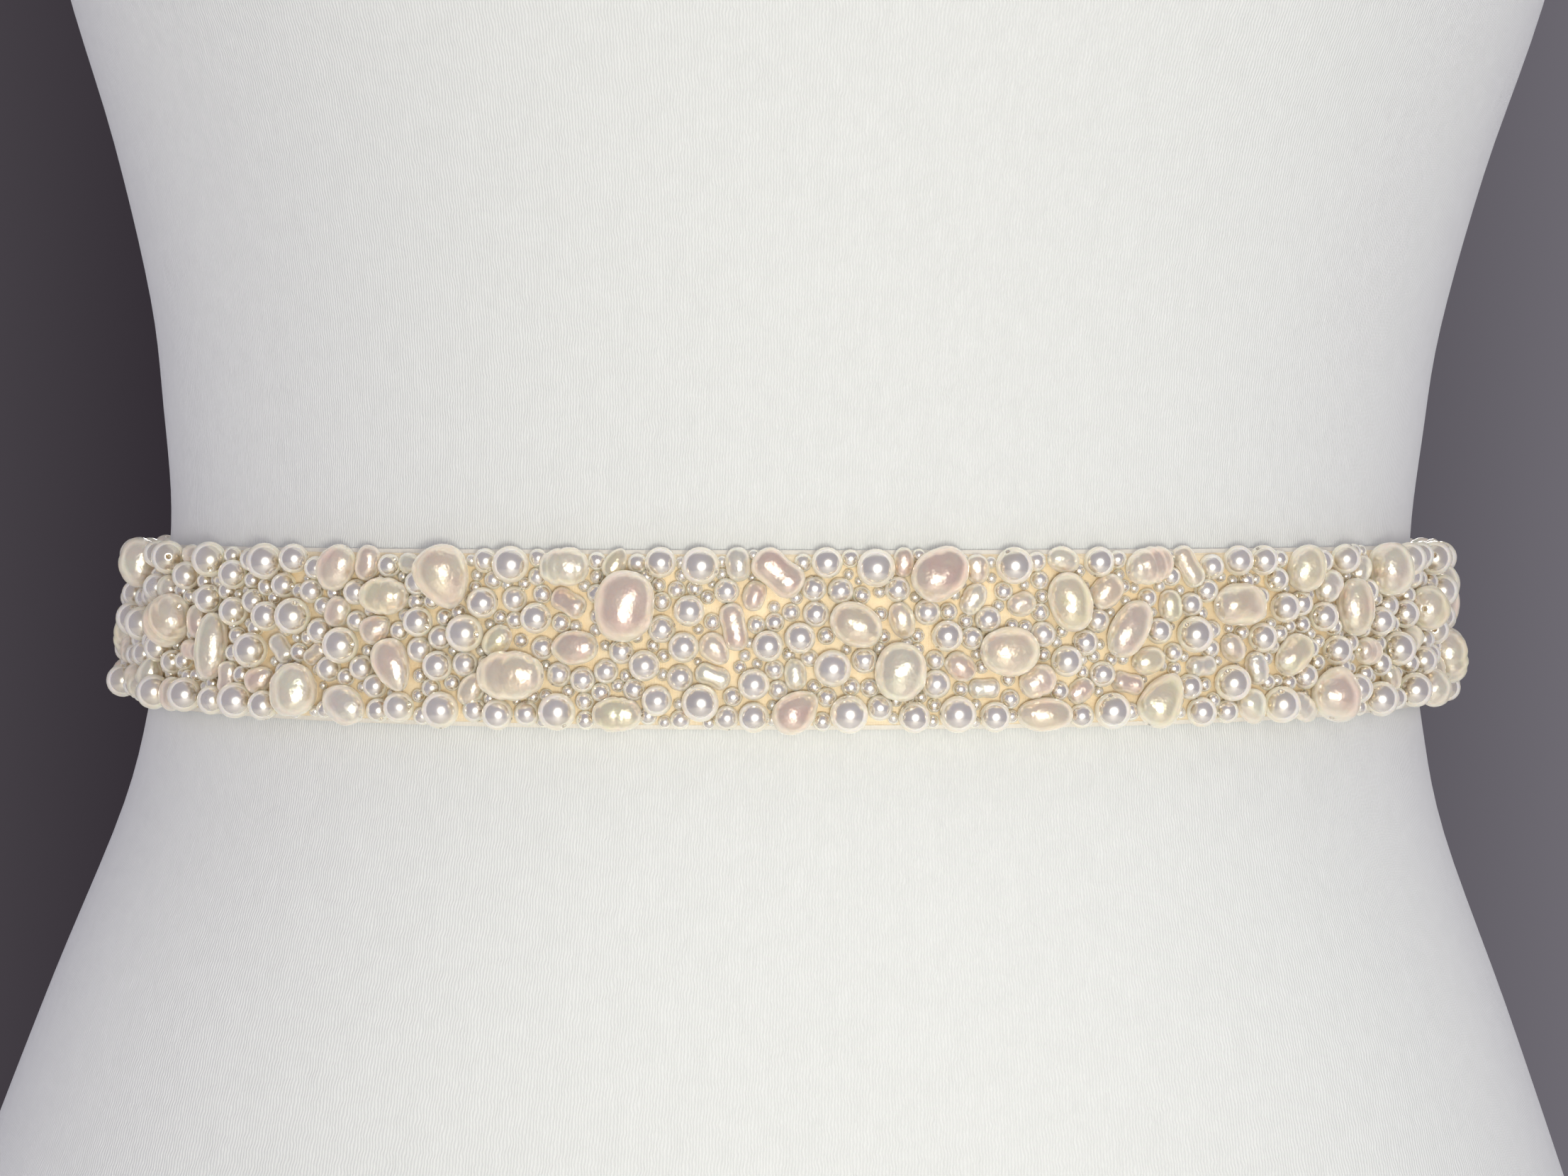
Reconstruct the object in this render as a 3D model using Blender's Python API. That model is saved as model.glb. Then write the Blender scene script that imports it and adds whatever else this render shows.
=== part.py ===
"""A bridal sash of sewn pearls, worn on a limbless dress form.

The sash is a satin ribbon that goes once round the waist and laps over itself at the centre
back, where two press studs hold it shut. A narrower strip of ground cloth lies on it across
the front and past both sides, and carries the pearls. Round pearls of five sizes and
freshwater pearls of uneven shape are sewn on edge to edge. The large ones are raised here in
the outer points of the ground cloth's wall, over a plain inside.

Metres, +Z up, the wearer's front towards -Y. The form stands on its base board at Z = 0.
"""

import math
import random
from collections import namedtuple

import bmesh
import bpy
import numpy as np
from mathutils import Vector
from mathutils.geometry import delaunay_2d_cdt

COLLECTION = "bridal_sash_on_form"
MM = 0.001
TOUCH = 0.3 * MM  # what touching pieces keep between them

# ------------------------------------------------------------------ driving sizes
BASE_BOARD = 12 * MM  # thickness of the board that closes the form's underside
BASE_INSET = 4 * MM  # the board's edge stands back from the cover's turned hem
PLATE_EASE = 0.15  # the share of a plate's thickness that its eased edges take
WAIST_HEIGHT = 262 * MM  # the form's narrowest level, above the surface it stands on
NECK_CAP = 9 * MM

RIBBON_WIDTH = 28.5 * MM
GROUND_WIDTH = 27 * MM
BAND_DROP = 18.2 * MM  # the band's middle line lies this far under the narrowest level
BAND_TILT = math.radians(1.3)  # it rides a little higher on the +X side
BAND_CLEARANCE = 0.4 * MM  # between the form's cover and the ribbon
RIBBON_WALL = 1.0 * MM
GROUND_WALL = 1.0 * MM
LAP = 25 * MM  # how far the ribbon's ends lie over each other at the centre back
HEM = 9 * MM  # turned end of the upper ribbon end
HEM_STEP = 0.5 * MM
STUD_RADIUS = 4 * MM
STUD_THICKNESS = 1.6 * MM
STUD_SPREAD = 7 * MM  # each stud's centre, above and below the middle line
STUD_EASE = 0.3 * MM

PANEL_HALF = 230 * MM  # the pearled ground reaches this far each way from the centre front
OVERHANG = 1.2 * MM  # the outer pearls stand over the ground's long edges by this much
SMALLEST_RAISED = 4.8  # mm, the long side of the smallest pearl that counts as large

# The form's levels: how far each lies above the narrowest one, its half width, its depths in
# front of and behind the axis, all in mm, and the exponent of its rounded outline.
Level = namedtuple("Level", "rise half_width front back square")
FORM_LEVELS = [
    Level(-250, 157.0, 101, 113, 2.3),
    Level(-222, 162.5, 104, 118, 2.3),
    Level(-190, 163.5, 105, 121, 2.3),
    Level(-150, 157.5, 102, 117, 2.3),
    Level(-116, 145.5, 98, 108, 2.2),
    Level(-85, 134.0, 94, 99, 2.2),
    Level(-54, 122.2, 90, 91, 2.1),
    Level(-34, 117.6, 88, 87, 2.1),
    Level(-16, 115.3, 87, 85, 2.1),
    Level(0, 114.5, 87, 84, 2.1),
    Level(18, 116.2, 87, 84, 2.1),
    Level(38, 118.9, 89, 86, 2.1),
    Level(66, 125.9, 94, 91, 2.1),
    Level(96, 135.0, 102, 98, 2.2),
    Level(130, 143.0, 113, 104, 2.2),
    Level(165, 147.5, 121, 108, 2.2),
    Level(200, 149.5, 118, 110, 2.2),
    Level(240, 152.0, 105, 111, 2.3),
    Level(282, 159.0, 91, 109, 2.4),
    Level(320, 167.0, 78, 101, 2.4),
    Level(346, 169.0, 68, 91, 2.4),
    Level(364, 152.0, 60, 80, 2.3),
    Level(380, 116.0, 54, 69, 2.2),
    Level(394, 78.0, 50, 61, 2.1),
    Level(410, 60.0, 48, 56, 2.0),
    Level(432, 54.5, 47, 53, 2.0),
    Level(455, 53.5, 47, 52, 2.0),
]
LEVEL_STEPS = 2  # rings from one level of the table to the next
FORM_SIDES = 52

# The large freshwater pearls of the front, by hand: their places along and up the band and
# their long and short sides in mm, the long side's turn in degrees, the shape and the nacre.
Fresh = namedtuple("Fresh", "along up long wide turn shape nacre")
FRESHWATER = [
    Fresh(-135, 10.5, 8.6, 8.1, 90, "potato", "ivory"),
    Fresh(-116, 1, 9.4, 8.9, 30, "ringed", "peach"),
    Fresh(-103, -3, 11.4, 6.1, 90, "oval", "ivory"),
    Fresh(-82, -9.5, 8.8, 8, 90, "potato", "ivory"),
    Fresh(-75, 11, 7.9, 6.4, 60, "oval", "blush"),
    Fresh(-72, -11.5, 8.2, 6.1, -25, "oval", "silver"),
    Fresh(-66, 7, 8.4, 6.1, 0, "ringed", "honey"),
    Fresh(-63, -4.5, 9.2, 6.1, -60, "drop", "blush"),
    Fresh(-55, 10, 10.4, 9.2, -70, "drop", "peach"),
    Fresh(-43, -5.5, 11.2, 8, 0, "ringed", "peach"),
    Fresh(-35, 11.5, 8, 6.2, 0, "ringed", "ivory"),
    Fresh(-33, -1.5, 7.8, 5.6, 5, "oval", "mauve"),
    Fresh(-26, -12, 7.9, 5.7, 0, "ringed", "honey"),
    Fresh(-25, 5, 11.4, 9.2, 80, "potato", "mauve"),
    Fresh(-8, 2, 7.7, 4, -80, "rice", "mauve"),
    Fresh(-1, 10.5, 9.1, 5.7, -40, "rice", "mauve"),
    Fresh(2, -12, 8.1, 6.2, 40, "drop", "mauve"),
    Fresh(11, 2.5, 8.6, 6.9, -30, "oval", "peach"),
    Fresh(18, -5, 9.2, 8, 80, "potato", "ivory"),
    Fresh(24, 10.5, 9.7, 7.9, 35, "potato", "mauve"),
    Fresh(36, -2.5, 9.7, 8, 0, "oval", "peach"),
    Fresh(41, -12, 9, 5.5, 0, "oval", "peach"),
    Fresh(45, 6, 9.7, 7, -75, "oval", "honey"),
    Fresh(55, 1.5, 10.3, 6.4, 55, "oval", "blush"),
    Fresh(59, 12, 8.4, 6.1, 15, "ringed", "blush"),
    Fresh(61, -10, 9.6, 6.8, 55, "drop", "honey"),
    Fresh(67, 11, 7.4, 3.8, -60, "rice", "peach"),
    Fresh(75, 5.5, 9.4, 7.1, 0, "potato", "peach"),
    Fresh(87, -3.5, 7.8, 5.7, 45, "potato", "honey"),
    Fresh(90, 11.5, 8.1, 6.8, 70, "oval", "honey"),
    Fresh(95, -10.5, 9.4, 8.8, 60, "drop", "blush"),
    Fresh(102, 4, 9.8, 6.9, 90, "oval", "peach"),
    Fresh(112, 10.5, 9, 8.3, 90, "potato", "ivory"),
    Fresh(127, 3, 8.2, 8, 0, "potato", "honey"),
    Fresh(149, 7, 7.6, 6.4, 90, "oval", "ivory"),
]

# What fills the rest, in this order: the kind, its size in mm, how many, and how far from the
# centre front they start.
Fill = namedtuple("Fill", "kind across count start")
FILLS = [
    Fill("fresh", 8.4, 22, 128),
    Fill("round", 6, 54, 0),
    Fill("round", 5, 78, 0),
    Fill("fresh", 5.2, 76, 0),
    Fill("round", 4, 122, 0),
    Fill("round", 3, 175, 0),
    Fill("round", 2, 290, 0),
]

# How far the filling pearls stray from their size, and how slim freshwater ones are.
ROUND_SPREAD = (0.98, 1.02)
FRESH_SPREAD = (0.86, 1.2)
FRESH_SLIM = (0.7, 0.86)
RICE_SLIM = 0.62
SHAPES = ("oval", "rice", "ringed", "potato", "drop")
NACRES = ("ivory", "peach", "blush", "mauve", "honey", "silver")
DEPTH_SHARE = 0.9  # a freshwater pearl's depth off the cloth, as a share of its short side

SEED = 21
EDGE_SHARE = 0.3  # the share of the fill that is set in line along a long edge
TRIES = 60  # places looked at for each pearl of the fill
SETTLING = 160  # rounds of easing crowded pearls apart
NEIGHBOURHOOD = 14  # mm along the band, past which no two pearls meet

# ------------------------------------------------------------------ materials

Finish = namedtuple("Finish", "colour roughness metallic")
FINISHES = {
    "jersey": Finish((0.87, 0.86, 0.83), 0.9, 0.0),
    "board": Finish((0.80, 0.78, 0.74), 0.6, 0.0),
    "satin": Finish((0.93, 0.88, 0.78), 0.35, 0.0),
    "pearl": Finish((0.90, 0.85, 0.80), 0.2, 0.3),
    "stud": Finish((0.75, 0.75, 0.77), 0.3, 1.0),
}


def material(name):
    """The named finish as a Principled material."""
    found = bpy.data.materials.get(name)
    if found:
        return found
    made = bpy.data.materials.new(name)
    made.use_nodes = True
    shader = made.node_tree.nodes["Principled BSDF"]
    finish = FINISHES[name]
    shader.inputs["Base Color"].default_value = (*finish.colour, 1)
    shader.inputs["Roughness"].default_value = finish.roughness
    shader.inputs["Metallic"].default_value = finish.metallic
    return made


def add_piece(name, shape, finish, smooth_angle=None):
    """Turns a bmesh into a named object of the sash's collection."""
    bmesh.ops.recalc_face_normals(shape, faces=shape.faces[:])
    mesh = bpy.data.meshes.new(name)
    shape.to_mesh(mesh)
    shape.free()
    if smooth_angle is not None:
        mesh.shade_smooth()
        mesh.set_sharp_from_angle(angle=math.radians(smooth_angle))
    mesh.materials.append(material(finish))
    piece = bpy.data.objects.new(name, mesh)
    bpy.data.collections[COLLECTION].objects.link(piece)
    return piece


# ------------------------------------------------------------------ the form's outline


def between_rows(rows, place):
    """A smooth curve through a table's rows, in every column; place counts rows."""
    first = min(int(place), len(rows) - 2)
    part = place - first
    ends = [rows[min(max(first + k, 0), len(rows) - 1)] for k in (-1, 0, 1, 2)]
    return Level(
        *(
            0.5
            * (
                2 * b
                + (c - a) * part
                + (2 * a - 5 * b + 4 * c - d) * part**2
                + (3 * b - a - 3 * c + d) * part**3
            )
            for a, b, c, d in zip(*ends)
        )
    )


def level_at(rise):
    """The form's level at a rise in mm, found by halving."""
    low, high = 0.0, len(FORM_LEVELS) - 1.0
    for _ in range(40):
        middle = (low + high) / 2
        if between_rows(FORM_LEVELS, middle).rise < rise:
            low = middle
        else:
            high = middle
    return between_rows(FORM_LEVELS, low)


def form_point(level, angle, inset=0.0):
    """A point of the form's outline; angle 0 is the centre front, and +90 degrees is +X."""
    across = abs(math.sin(angle)) / (level.half_width - inset)
    depth = level.front if math.cos(angle) > 0 else level.back
    along = abs(math.cos(angle)) / (depth - inset)
    reach = (across**level.square + along**level.square) ** (-1 / level.square) * MM
    height = WAIST_HEIGHT + level.rise * MM
    return Vector((reach * math.sin(angle), -reach * math.cos(angle), height))


def skin(shape, rings):
    """Closes a stack of equal rings into one body, with a flat face at each end."""
    rows = [[shape.verts.new(p) for p in ring] for ring in rings]
    count = len(rows[0])
    for lower, upper in zip(rows, rows[1:]):
        for k in range(count):
            after = (k + 1) % count
            shape.faces.new((lower[k], lower[after], upper[after], upper[k]))
    shape.faces.new(rows[0][::-1])
    shape.faces.new(rows[-1])


def form_ring(level, inset=0.0):
    return [form_point(level, 2 * math.pi * k / FORM_SIDES, inset) for k in range(FORM_SIDES)]


def make_torso():
    """The form's padded body in its jersey cover, cut flat at the neck and at the hip."""
    shape = bmesh.new()
    places = [k / LEVEL_STEPS for k in range((len(FORM_LEVELS) - 1) * LEVEL_STEPS + 1)]
    skin(shape, [form_ring(between_rows(FORM_LEVELS, p)) for p in places])
    add_piece("form_torso", shape, "jersey", smooth_angle=40)


def make_plate(name, level, inset, height, thickness, finish):
    """A flat plate in the outline of one of the form's levels, with its edges eased."""
    ease = PLATE_EASE * thickness
    inset_mm = inset / MM
    ring = form_ring(level, inset_mm)
    narrow = form_ring(level, inset_mm + ease / MM)
    foot = height - ring[0].z
    steps = [(narrow, 0.0), (ring, ease), (ring, thickness - ease), (narrow, thickness)]
    shape = bmesh.new()
    skin(shape, [[p + Vector((0, 0, foot + up)) for p in r] for r, up in steps])
    add_piece(name, shape, finish, smooth_angle=40)


# ------------------------------------------------------------------ the band's surface

BAND_STEPS = 1440
Band = namedtuple("Band", "along top bottom normal round")


def measure_band():
    """Straight lines down the form, from the ribbon's upper to its lower edge, all round.

    along is the distance round the band from the centre front, at the ground's outer face.
    """
    edges = {"top": [], "bottom": []}
    angles = np.linspace(-math.pi, math.pi, BAND_STEPS + 1)
    middle = level_at(-BAND_DROP / MM)
    levels = {}
    for angle in angles:
        lean = math.tan(BAND_TILT) * form_point(middle, angle).x
        for edge, side in (("top", 0.5), ("bottom", -0.5)):
            rise = round((lean - BAND_DROP + side * RIBBON_WIDTH) / MM, 2)
            if rise not in levels:
                levels[rise] = level_at(rise)
            edges[edge].append(form_point(levels[rise], angle))
    top = np.array(edges["top"])
    bottom = np.array(edges["bottom"])
    centre = (top + bottom) / 2
    run = np.gradient(centre, axis=0)
    run[0] = run[-1] = (centre[1] - centre[-2]) / 2
    normal = np.cross(run, top - bottom)
    normal /= np.linalg.norm(normal, axis=1)[:, None]
    face = centre + normal * (BAND_CLEARANCE + RIBBON_WALL + TOUCH + GROUND_WALL)
    steps = np.linalg.norm(np.diff(face, axis=0), axis=1)
    along = np.concatenate([[0], np.cumsum(steps)])
    return Band(along - along[-1] / 2, top, bottom, normal, along[-1])


def band_point(band, along, up, out):
    """The point this far round the band, up from its middle line, and out from the form."""
    place = (along + band.round / 2) % band.round - band.round / 2

    def at(rows):
        return np.array([np.interp(place, band.along, rows[:, k]) for k in range(3)])

    share = 0.5 + up / RIBBON_WIDTH
    foot = at(band.bottom) * (1 - share) + at(band.top) * share
    return Vector(foot + at(band.normal) * out)


# ------------------------------------------------------------------ the ribbon

RIBBON_STATIONS = 104
LAP_LIFT = RIBBON_WALL + 2 * TOUCH + STUD_THICKNESS  # the upper end rides over the studs
RAMP_START, RAMP_END = 62 * MM, 24 * MM  # where it lifts, back from its place at the lap


def ribbon_out(band, along):
    """How far the ribbon's inner face stands off the form: its upper end rises over the lower."""
    to_centre_back = band.round / 2 - along
    share = (RAMP_START - to_centre_back) / (RAMP_START - RAMP_END)
    share = min(max(share, 0.0), 1.0)
    return BAND_CLEARANCE + LAP_LIFT * share * share * (3 - 2 * share)


def make_ribbon(band):
    """One satin ribbon all round, its upper end turned in a hem."""
    end = (band.round + LAP) / 2
    stops = [-end + 2 * end * k / RIBBON_STATIONS for k in range(RIBBON_STATIONS)]
    hem_start = end - HEM
    stops = [s for s in stops if s < hem_start - TOUCH]
    sections = [(s, RIBBON_WALL) for s in stops]
    sections += [(hem_start, RIBBON_WALL), (hem_start + TOUCH, RIBBON_WALL + HEM_STEP)]
    sections += [(end, RIBBON_WALL + HEM_STEP)]
    half = RIBBON_WIDTH / 2
    rings = []
    for along, wall in sections:
        inner = ribbon_out(band, along)
        corners = [(-half, inner), (half, inner), (half, inner + wall), (-half, inner + wall)]
        rings.append([band_point(band, along, up, out) for up, out in corners])
    shape = bmesh.new()
    skin(shape, rings)
    add_piece("sash_ribbon", shape, "satin", smooth_angle=40)


def make_studs(band):
    """Two press studs between the ribbon's ends at the centre back."""
    out = BAND_CLEARANCE + RIBBON_WALL + TOUCH + STUD_THICKNESS / 2
    for name, side in (("press_stud_upper", 1), ("press_stud_lower", -1)):
        shape = bmesh.new()
        bmesh.ops.create_cone(
            shape,
            cap_ends=True,
            segments=20,
            radius1=STUD_RADIUS,
            radius2=STUD_RADIUS,
            depth=STUD_THICKNESS,
        )
        bmesh.ops.bevel(
            shape,
            geom=[e for e in shape.edges if e.calc_face_angle(0) > 1],
            offset=STUD_EASE,
            segments=1,
            affect="EDGES",
            profile=0.5,
            material=-1,
        )
        stud = add_piece(name, shape, "stud", smooth_angle=40)
        centre = band_point(band, band.round / 2, side * STUD_SPREAD, out)
        outward = centre - band_point(band, band.round / 2, side * STUD_SPREAD, 0)
        stud.location = centre
        stud.rotation_mode = "QUATERNION"
        stud.rotation_quaternion = outward.to_track_quat("Z", "Y")


# ------------------------------------------------------------------ where the pearls lie

Pearl = namedtuple("Pearl", "along up long wide deep turn shape nacre")  # half sides, in mm


def reach_towards(long, wide, turn, angle):
    """A pearl's half width on the cloth in one direction."""
    return long * wide / np.hypot(wide * np.cos(angle - turn), long * np.sin(angle - turn))


def gaps(one, other):
    """Free space between pearls that rest on the cloth; less than 0 is a clash.

    Small ones tuck in under the swell of large ones.
    """
    run, lift = other[..., 0] - one[..., 0], other[..., 1] - one[..., 1]
    angle = np.arctan2(lift, run)
    reach = sum(reach_towards(p[..., 2], p[..., 3], p[..., 5], angle) for p in (one, other))
    tuck = (one[..., 4] - other[..., 4]) / (one[..., 4] + other[..., 4])
    return np.hypot(run, lift) - reach * np.sqrt(1 - tuck**2)


def room_for(long, wide, turn):
    """How far from the panel's middle a pearl's centre may lie, along and up."""
    upright = np.hypot(long * np.sin(turn), wide * np.cos(turn))
    return PANEL_HALF / MM - long, (GROUND_WIDTH / 2 + OVERHANG) / MM - upright


def settle(rows):
    """Eases crowded pearls apart, the small ones furthest, and keeps them all on the cloth."""
    room = np.stack(room_for(rows[:, 2], rows[:, 3], rows[:, 5]), axis=1)
    loose = 1 / (rows[:, 2] * rows[:, 3])
    one, other = np.triu_indices(len(rows), 1)
    near = np.abs(rows[one, 0] - rows[other, 0]) < NEIGHBOURHOOD
    one, other = one[near], other[near]
    share = (loose[one] / (loose[one] + loose[other]))[:, None]
    for _ in range(SETTLING):
        clash = np.clip(-gaps(rows[one], rows[other]), 0, None)[:, None]
        between = rows[other, :2] - rows[one, :2]
        push = 0.5 * clash * between / np.hypot(*between.T)[:, None]
        np.subtract.at(rows[:, :2], one, push * share)
        np.add.at(rows[:, :2], other, push * (1 - share))
        rows[:, :2] = np.clip(rows[:, :2], -room, room).round(3)


def sew_pearls():
    """Lays out all pearls: the front's by table, the rest each in the emptiest place tried."""
    chance = random.Random(SEED)
    pearls = []
    for row in FRESHWATER:
        long, wide, turn = row.long / 2, row.wide / 2, math.radians(row.turn)
        pearls.append(
            Pearl(row.along, row.up, long, wide, wide * DEPTH_SHARE, turn, row.shape, row.nacre)
        )
    for fill in FILLS:
        for _ in range(fill.count):
            long = fill.across / 2 * chance.uniform(*ROUND_SPREAD)
            wide, deep, turn, shape, nacre = long, long, 0.0, "round", "white"
            if fill.kind == "fresh":
                long *= chance.uniform(*FRESH_SPREAD)
                shape = chance.choice(SHAPES)
                wide = long * (RICE_SLIM if shape == "rice" else chance.uniform(*FRESH_SLIM))
                deep, turn = wide * DEPTH_SHARE, math.radians(chance.uniform(-90, 90))
                nacre = chance.choice(NACRES)
            end, edge = room_for(long, wide, turn)
            tried = []
            for _ in range(TRIES):
                along = chance.choice((-1, 1)) * chance.uniform(fill.start, end)
                at_edge = chance.random() < EDGE_SHARE
                up = edge * (chance.choice((-1, 1)) if at_edge else chance.uniform(-1, 1))
                tried.append((along, up, long, wide, deep, turn))
            rows = np.array([p[:6] for p in pearls])
            free = gaps(np.array(tried)[:, None], rows[None]).min(axis=1)
            pearls.append(Pearl(*tried[int(np.argmax(free))], shape, nacre))
    rows = np.array([p[:6] for p in pearls])
    settle(rows)
    return [p._replace(along=float(r[0]), up=float(r[1])) for p, r in zip(pearls, rows)]


# ------------------------------------------------------------------ the pearled ground

# The rings of points that shape a raised pearl: where they lie, as a share of its half width,
# and how many corners they have.
Ring = namedtuple("Ring", "place sides")
DOME_RINGS = [Ring(0.6, 5), Ring(0.97, 8)]
LEAST_SPACE = 0.7  # mm between points of the outer face
EDGE_STEP = 1.5  # mm between points of its long edges, at the least
VALLEY_STEP = 3.2  # mm between points of the bare ground
PLAIN_STEP = 7.0  # mm between the points of the plain inside, along the band
PLAIN_ROWS = (-5.0, 5.0)  # and how far up they lie
END_ROWS = (-8.0, -2.5, 2.5, 8.0)  # the points of the ground's short ends
RIM_POINTS = 178  # along each long edge, besides those that round its pearls
RIM_PULL = 0.985  # a rim point's relief is read this share of the way out, inside its pearl


def off_centre(pearl, along, up):
    """0 at a pearl's centre and 1 on its outline."""
    run, lift = along - pearl.along, up - pearl.up
    c, s = math.cos(pearl.turn), math.sin(pearl.turn)
    return math.hypot((run * c + lift * s) / pearl.long, (lift * c - run * s) / pearl.wide)


def relief_at(pearls, along, up):
    """The height of the pearls over the ground, in mm."""
    height = 0.0
    for pearl in pearls:
        if abs(pearl.along - along) < pearl.long:
            share = off_centre(pearl, along, up)
            if share < 1:
                height = max(height, 2 * pearl.deep * math.sqrt(1 - share * share))
    return height


def outline(pearls, side):
    """One long edge of the ground, bulging round each pearl that stands over it."""
    edge = GROUND_WIDTH / 2 / MM
    end = PANEL_HALF / MM
    places = list(np.linspace(-end, end, RIM_POINTS))
    over = []
    for pearl in pearls:
        tall = math.hypot(pearl.long * math.sin(pearl.turn), pearl.wide * math.cos(pearl.turn))
        if side * pearl.up + tall > edge:
            reach = float(reach_towards(pearl.long, pearl.wide, pearl.turn, 0.0))
            over.append((pearl, reach, tall))
            places += [pearl.along + k * reach for k in (-0.9, -0.5, 0.0, 0.5, 0.9)]
    line = []
    for along in sorted(places):
        if line and along - line[-1][0] < EDGE_STEP:
            continue
        if line and end - along < EDGE_STEP:
            along = end
        high = edge
        for pearl, reach, tall in over:
            if abs(pearl.along - along) < reach:
                low_up, high_up = 0.0, tall
                for _ in range(12):
                    up = (low_up + high_up) / 2
                    inside = off_centre(pearl, along, pearl.up + side * up) < 1
                    low_up, high_up = (up, high_up) if inside else (low_up, up)
                high = max(high, side * pearl.up + low_up)
        line.append((float(along), side * high))
        if along == end:
            break
    return line


def thinned(points, edge_points):
    """Leaves out points that lie too close to one kept before them."""
    kept = {}
    for point in edge_points:
        kept.setdefault((int(point[0] // 1), int(point[1] // 1)), []).append(point)
    found = []
    for point in points:
        cell = (int(point[0] // 1), int(point[1] // 1))
        near = [
            q
            for i in (-1, 0, 1)
            for j in (-1, 0, 1)
            for q in kept.get((cell[0] + i, cell[1] + j), [])
        ]
        if all(math.hypot(point[0] - q[0], point[1] - q[1]) > LEAST_SPACE for q in near):
            kept.setdefault(cell, []).append(point)
            found.append(point)
    return found


def pearl_points(pearl, share, sides):
    """A ring of points on the cloth, inside one pearl's outline."""
    ring = []
    for k in range(sides):
        angle = 2 * math.pi * (k + 0.5) / sides
        run, lift = math.cos(angle) * pearl.long * share, math.sin(angle) * pearl.wide * share
        c, s = math.cos(pearl.turn), math.sin(pearl.turn)
        ring.append((pearl.along + run * c - lift * s, pearl.up + run * s + lift * c))
    return ring


def outer_points(pearls):
    """Points that carry the relief: crown, shoulder and foot of each raised pearl."""
    points = [(p.along, p.up) for p in pearls]
    edge = GROUND_WIDTH / 2 / MM
    for ring in DOME_RINGS:
        for pearl in pearls:
            near = [p for p in pearls if abs(p.along - pearl.along) < NEIGHBOURHOOD]
            for point in pearl_points(pearl, ring.place, ring.sides):
                hidden = any(off_centre(p, *point) < ring.place for p in near if p is not pearl)
                if not hidden and abs(point[1]) < edge - LEAST_SPACE / 2:
                    points.append(point)
    end, shift = PANEL_HALF / MM - LEAST_SPACE, 0.0
    for up in np.arange(VALLEY_STEP / 2 - edge, edge - LEAST_SPACE, VALLEY_STEP):
        shift = VALLEY_STEP / 2 - shift
        for along in np.arange(shift - end, end, VALLEY_STEP):
            if relief_at(pearls, along, up) == 0.0:
                points.append((float(along), float(up)))
    return points


def triangulate(edge_loop, inner):
    """Triangles over points inside a closed outline: (points, triangles, outline's indices)."""
    points = [Vector(p) for p in edge_loop + inner]
    count = len(edge_loop)
    edges = [(k, (k + 1) % count) for k in range(count)]
    found, _, faces, origins, _, _ = delaunay_2d_cdt(points, edges, [], 1, 1e-6)
    index = {}
    for place, sources in enumerate(origins):
        for source in sources:
            index[source] = place
    return found, faces, [index[k] for k in range(count)]


def make_pearled_ground(band, pearls):
    """The ground cloth's wall: the large pearls raised outside, plain where it meets the ribbon."""
    inside = BAND_CLEARANCE + RIBBON_WALL + TOUCH
    top, bottom = outline(pearls, 1), outline(pearls, -1)
    end, edge = PANEL_HALF / MM, GROUND_WIDTH / 2 / MM
    loop = bottom + [(end, u) for u in END_ROWS]
    loop += top[::-1] + [(-end, u) for u in END_ROWS[::-1]]
    outer, outer_faces, outer_rim = triangulate(loop, thinned(outer_points(pearls), loop))
    stops = np.arange(PLAIN_STEP / 2 - end, end - 1, PLAIN_STEP)
    plain = [(float(along), up) for along in stops for up in PLAIN_ROWS]
    inner, inner_faces, inner_rim = triangulate(loop, plain)
    shape = bmesh.new()

    def height(along, up):
        inward = RIM_PULL * up if abs(up) >= edge else up
        return inside + GROUND_WALL + relief_at(pearls, along, inward) * MM

    front = [
        shape.verts.new(band_point(band, a * MM, u * MM, height(a, u))) for a, u in outer
    ]
    back = [shape.verts.new(band_point(band, a * MM, u * MM, inside)) for a, u in inner]
    for face in outer_faces:
        shape.faces.new([front[k] for k in face])
    for face in inner_faces:
        shape.faces.new([back[k] for k in face[::-1]])
    for k in range(len(loop)):
        after = (k + 1) % len(loop)
        corners = (back[inner_rim[k]], back[inner_rim[after]])
        shape.faces.new((*corners, front[outer_rim[after]], front[outer_rim[k]]))
    add_piece("pearled_ground", shape, "pearl", smooth_angle=70)


# ------------------------------------------------------------------ the whole


def main():
    for old in list(bpy.data.objects):
        bpy.data.objects.remove(old)
    bpy.context.scene.collection.children.link(bpy.data.collections.new(COLLECTION))
    make_torso()
    bottom, top = FORM_LEVELS[0], FORM_LEVELS[-1]
    neck = WAIST_HEIGHT + top.rise * MM + TOUCH
    make_plate("form_base_board", bottom, BASE_INSET, 0.0, BASE_BOARD - TOUCH, "board")
    make_plate("form_neck_cap", top, TOUCH, neck, NECK_CAP, "board")
    band = measure_band()
    make_ribbon(band)
    make_studs(band)
    large = [p for p in sew_pearls() if 2 * p.long >= SMALLEST_RAISED]
    make_pearled_ground(band, large)


main()
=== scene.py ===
"""A bridal sash of sewn pearls on a limbless dress form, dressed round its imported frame.

Metres, +Z up, the wearer's front towards -Y. The form stands on the floor at Z = 0.
"""

import random
from collections import namedtuple
from math import atan2, copysign, cos, exp, pi, radians, sin, sqrt, tan

import bmesh
import bpy
import numpy as np
from mathutils import Matrix, Vector, noise


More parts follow.
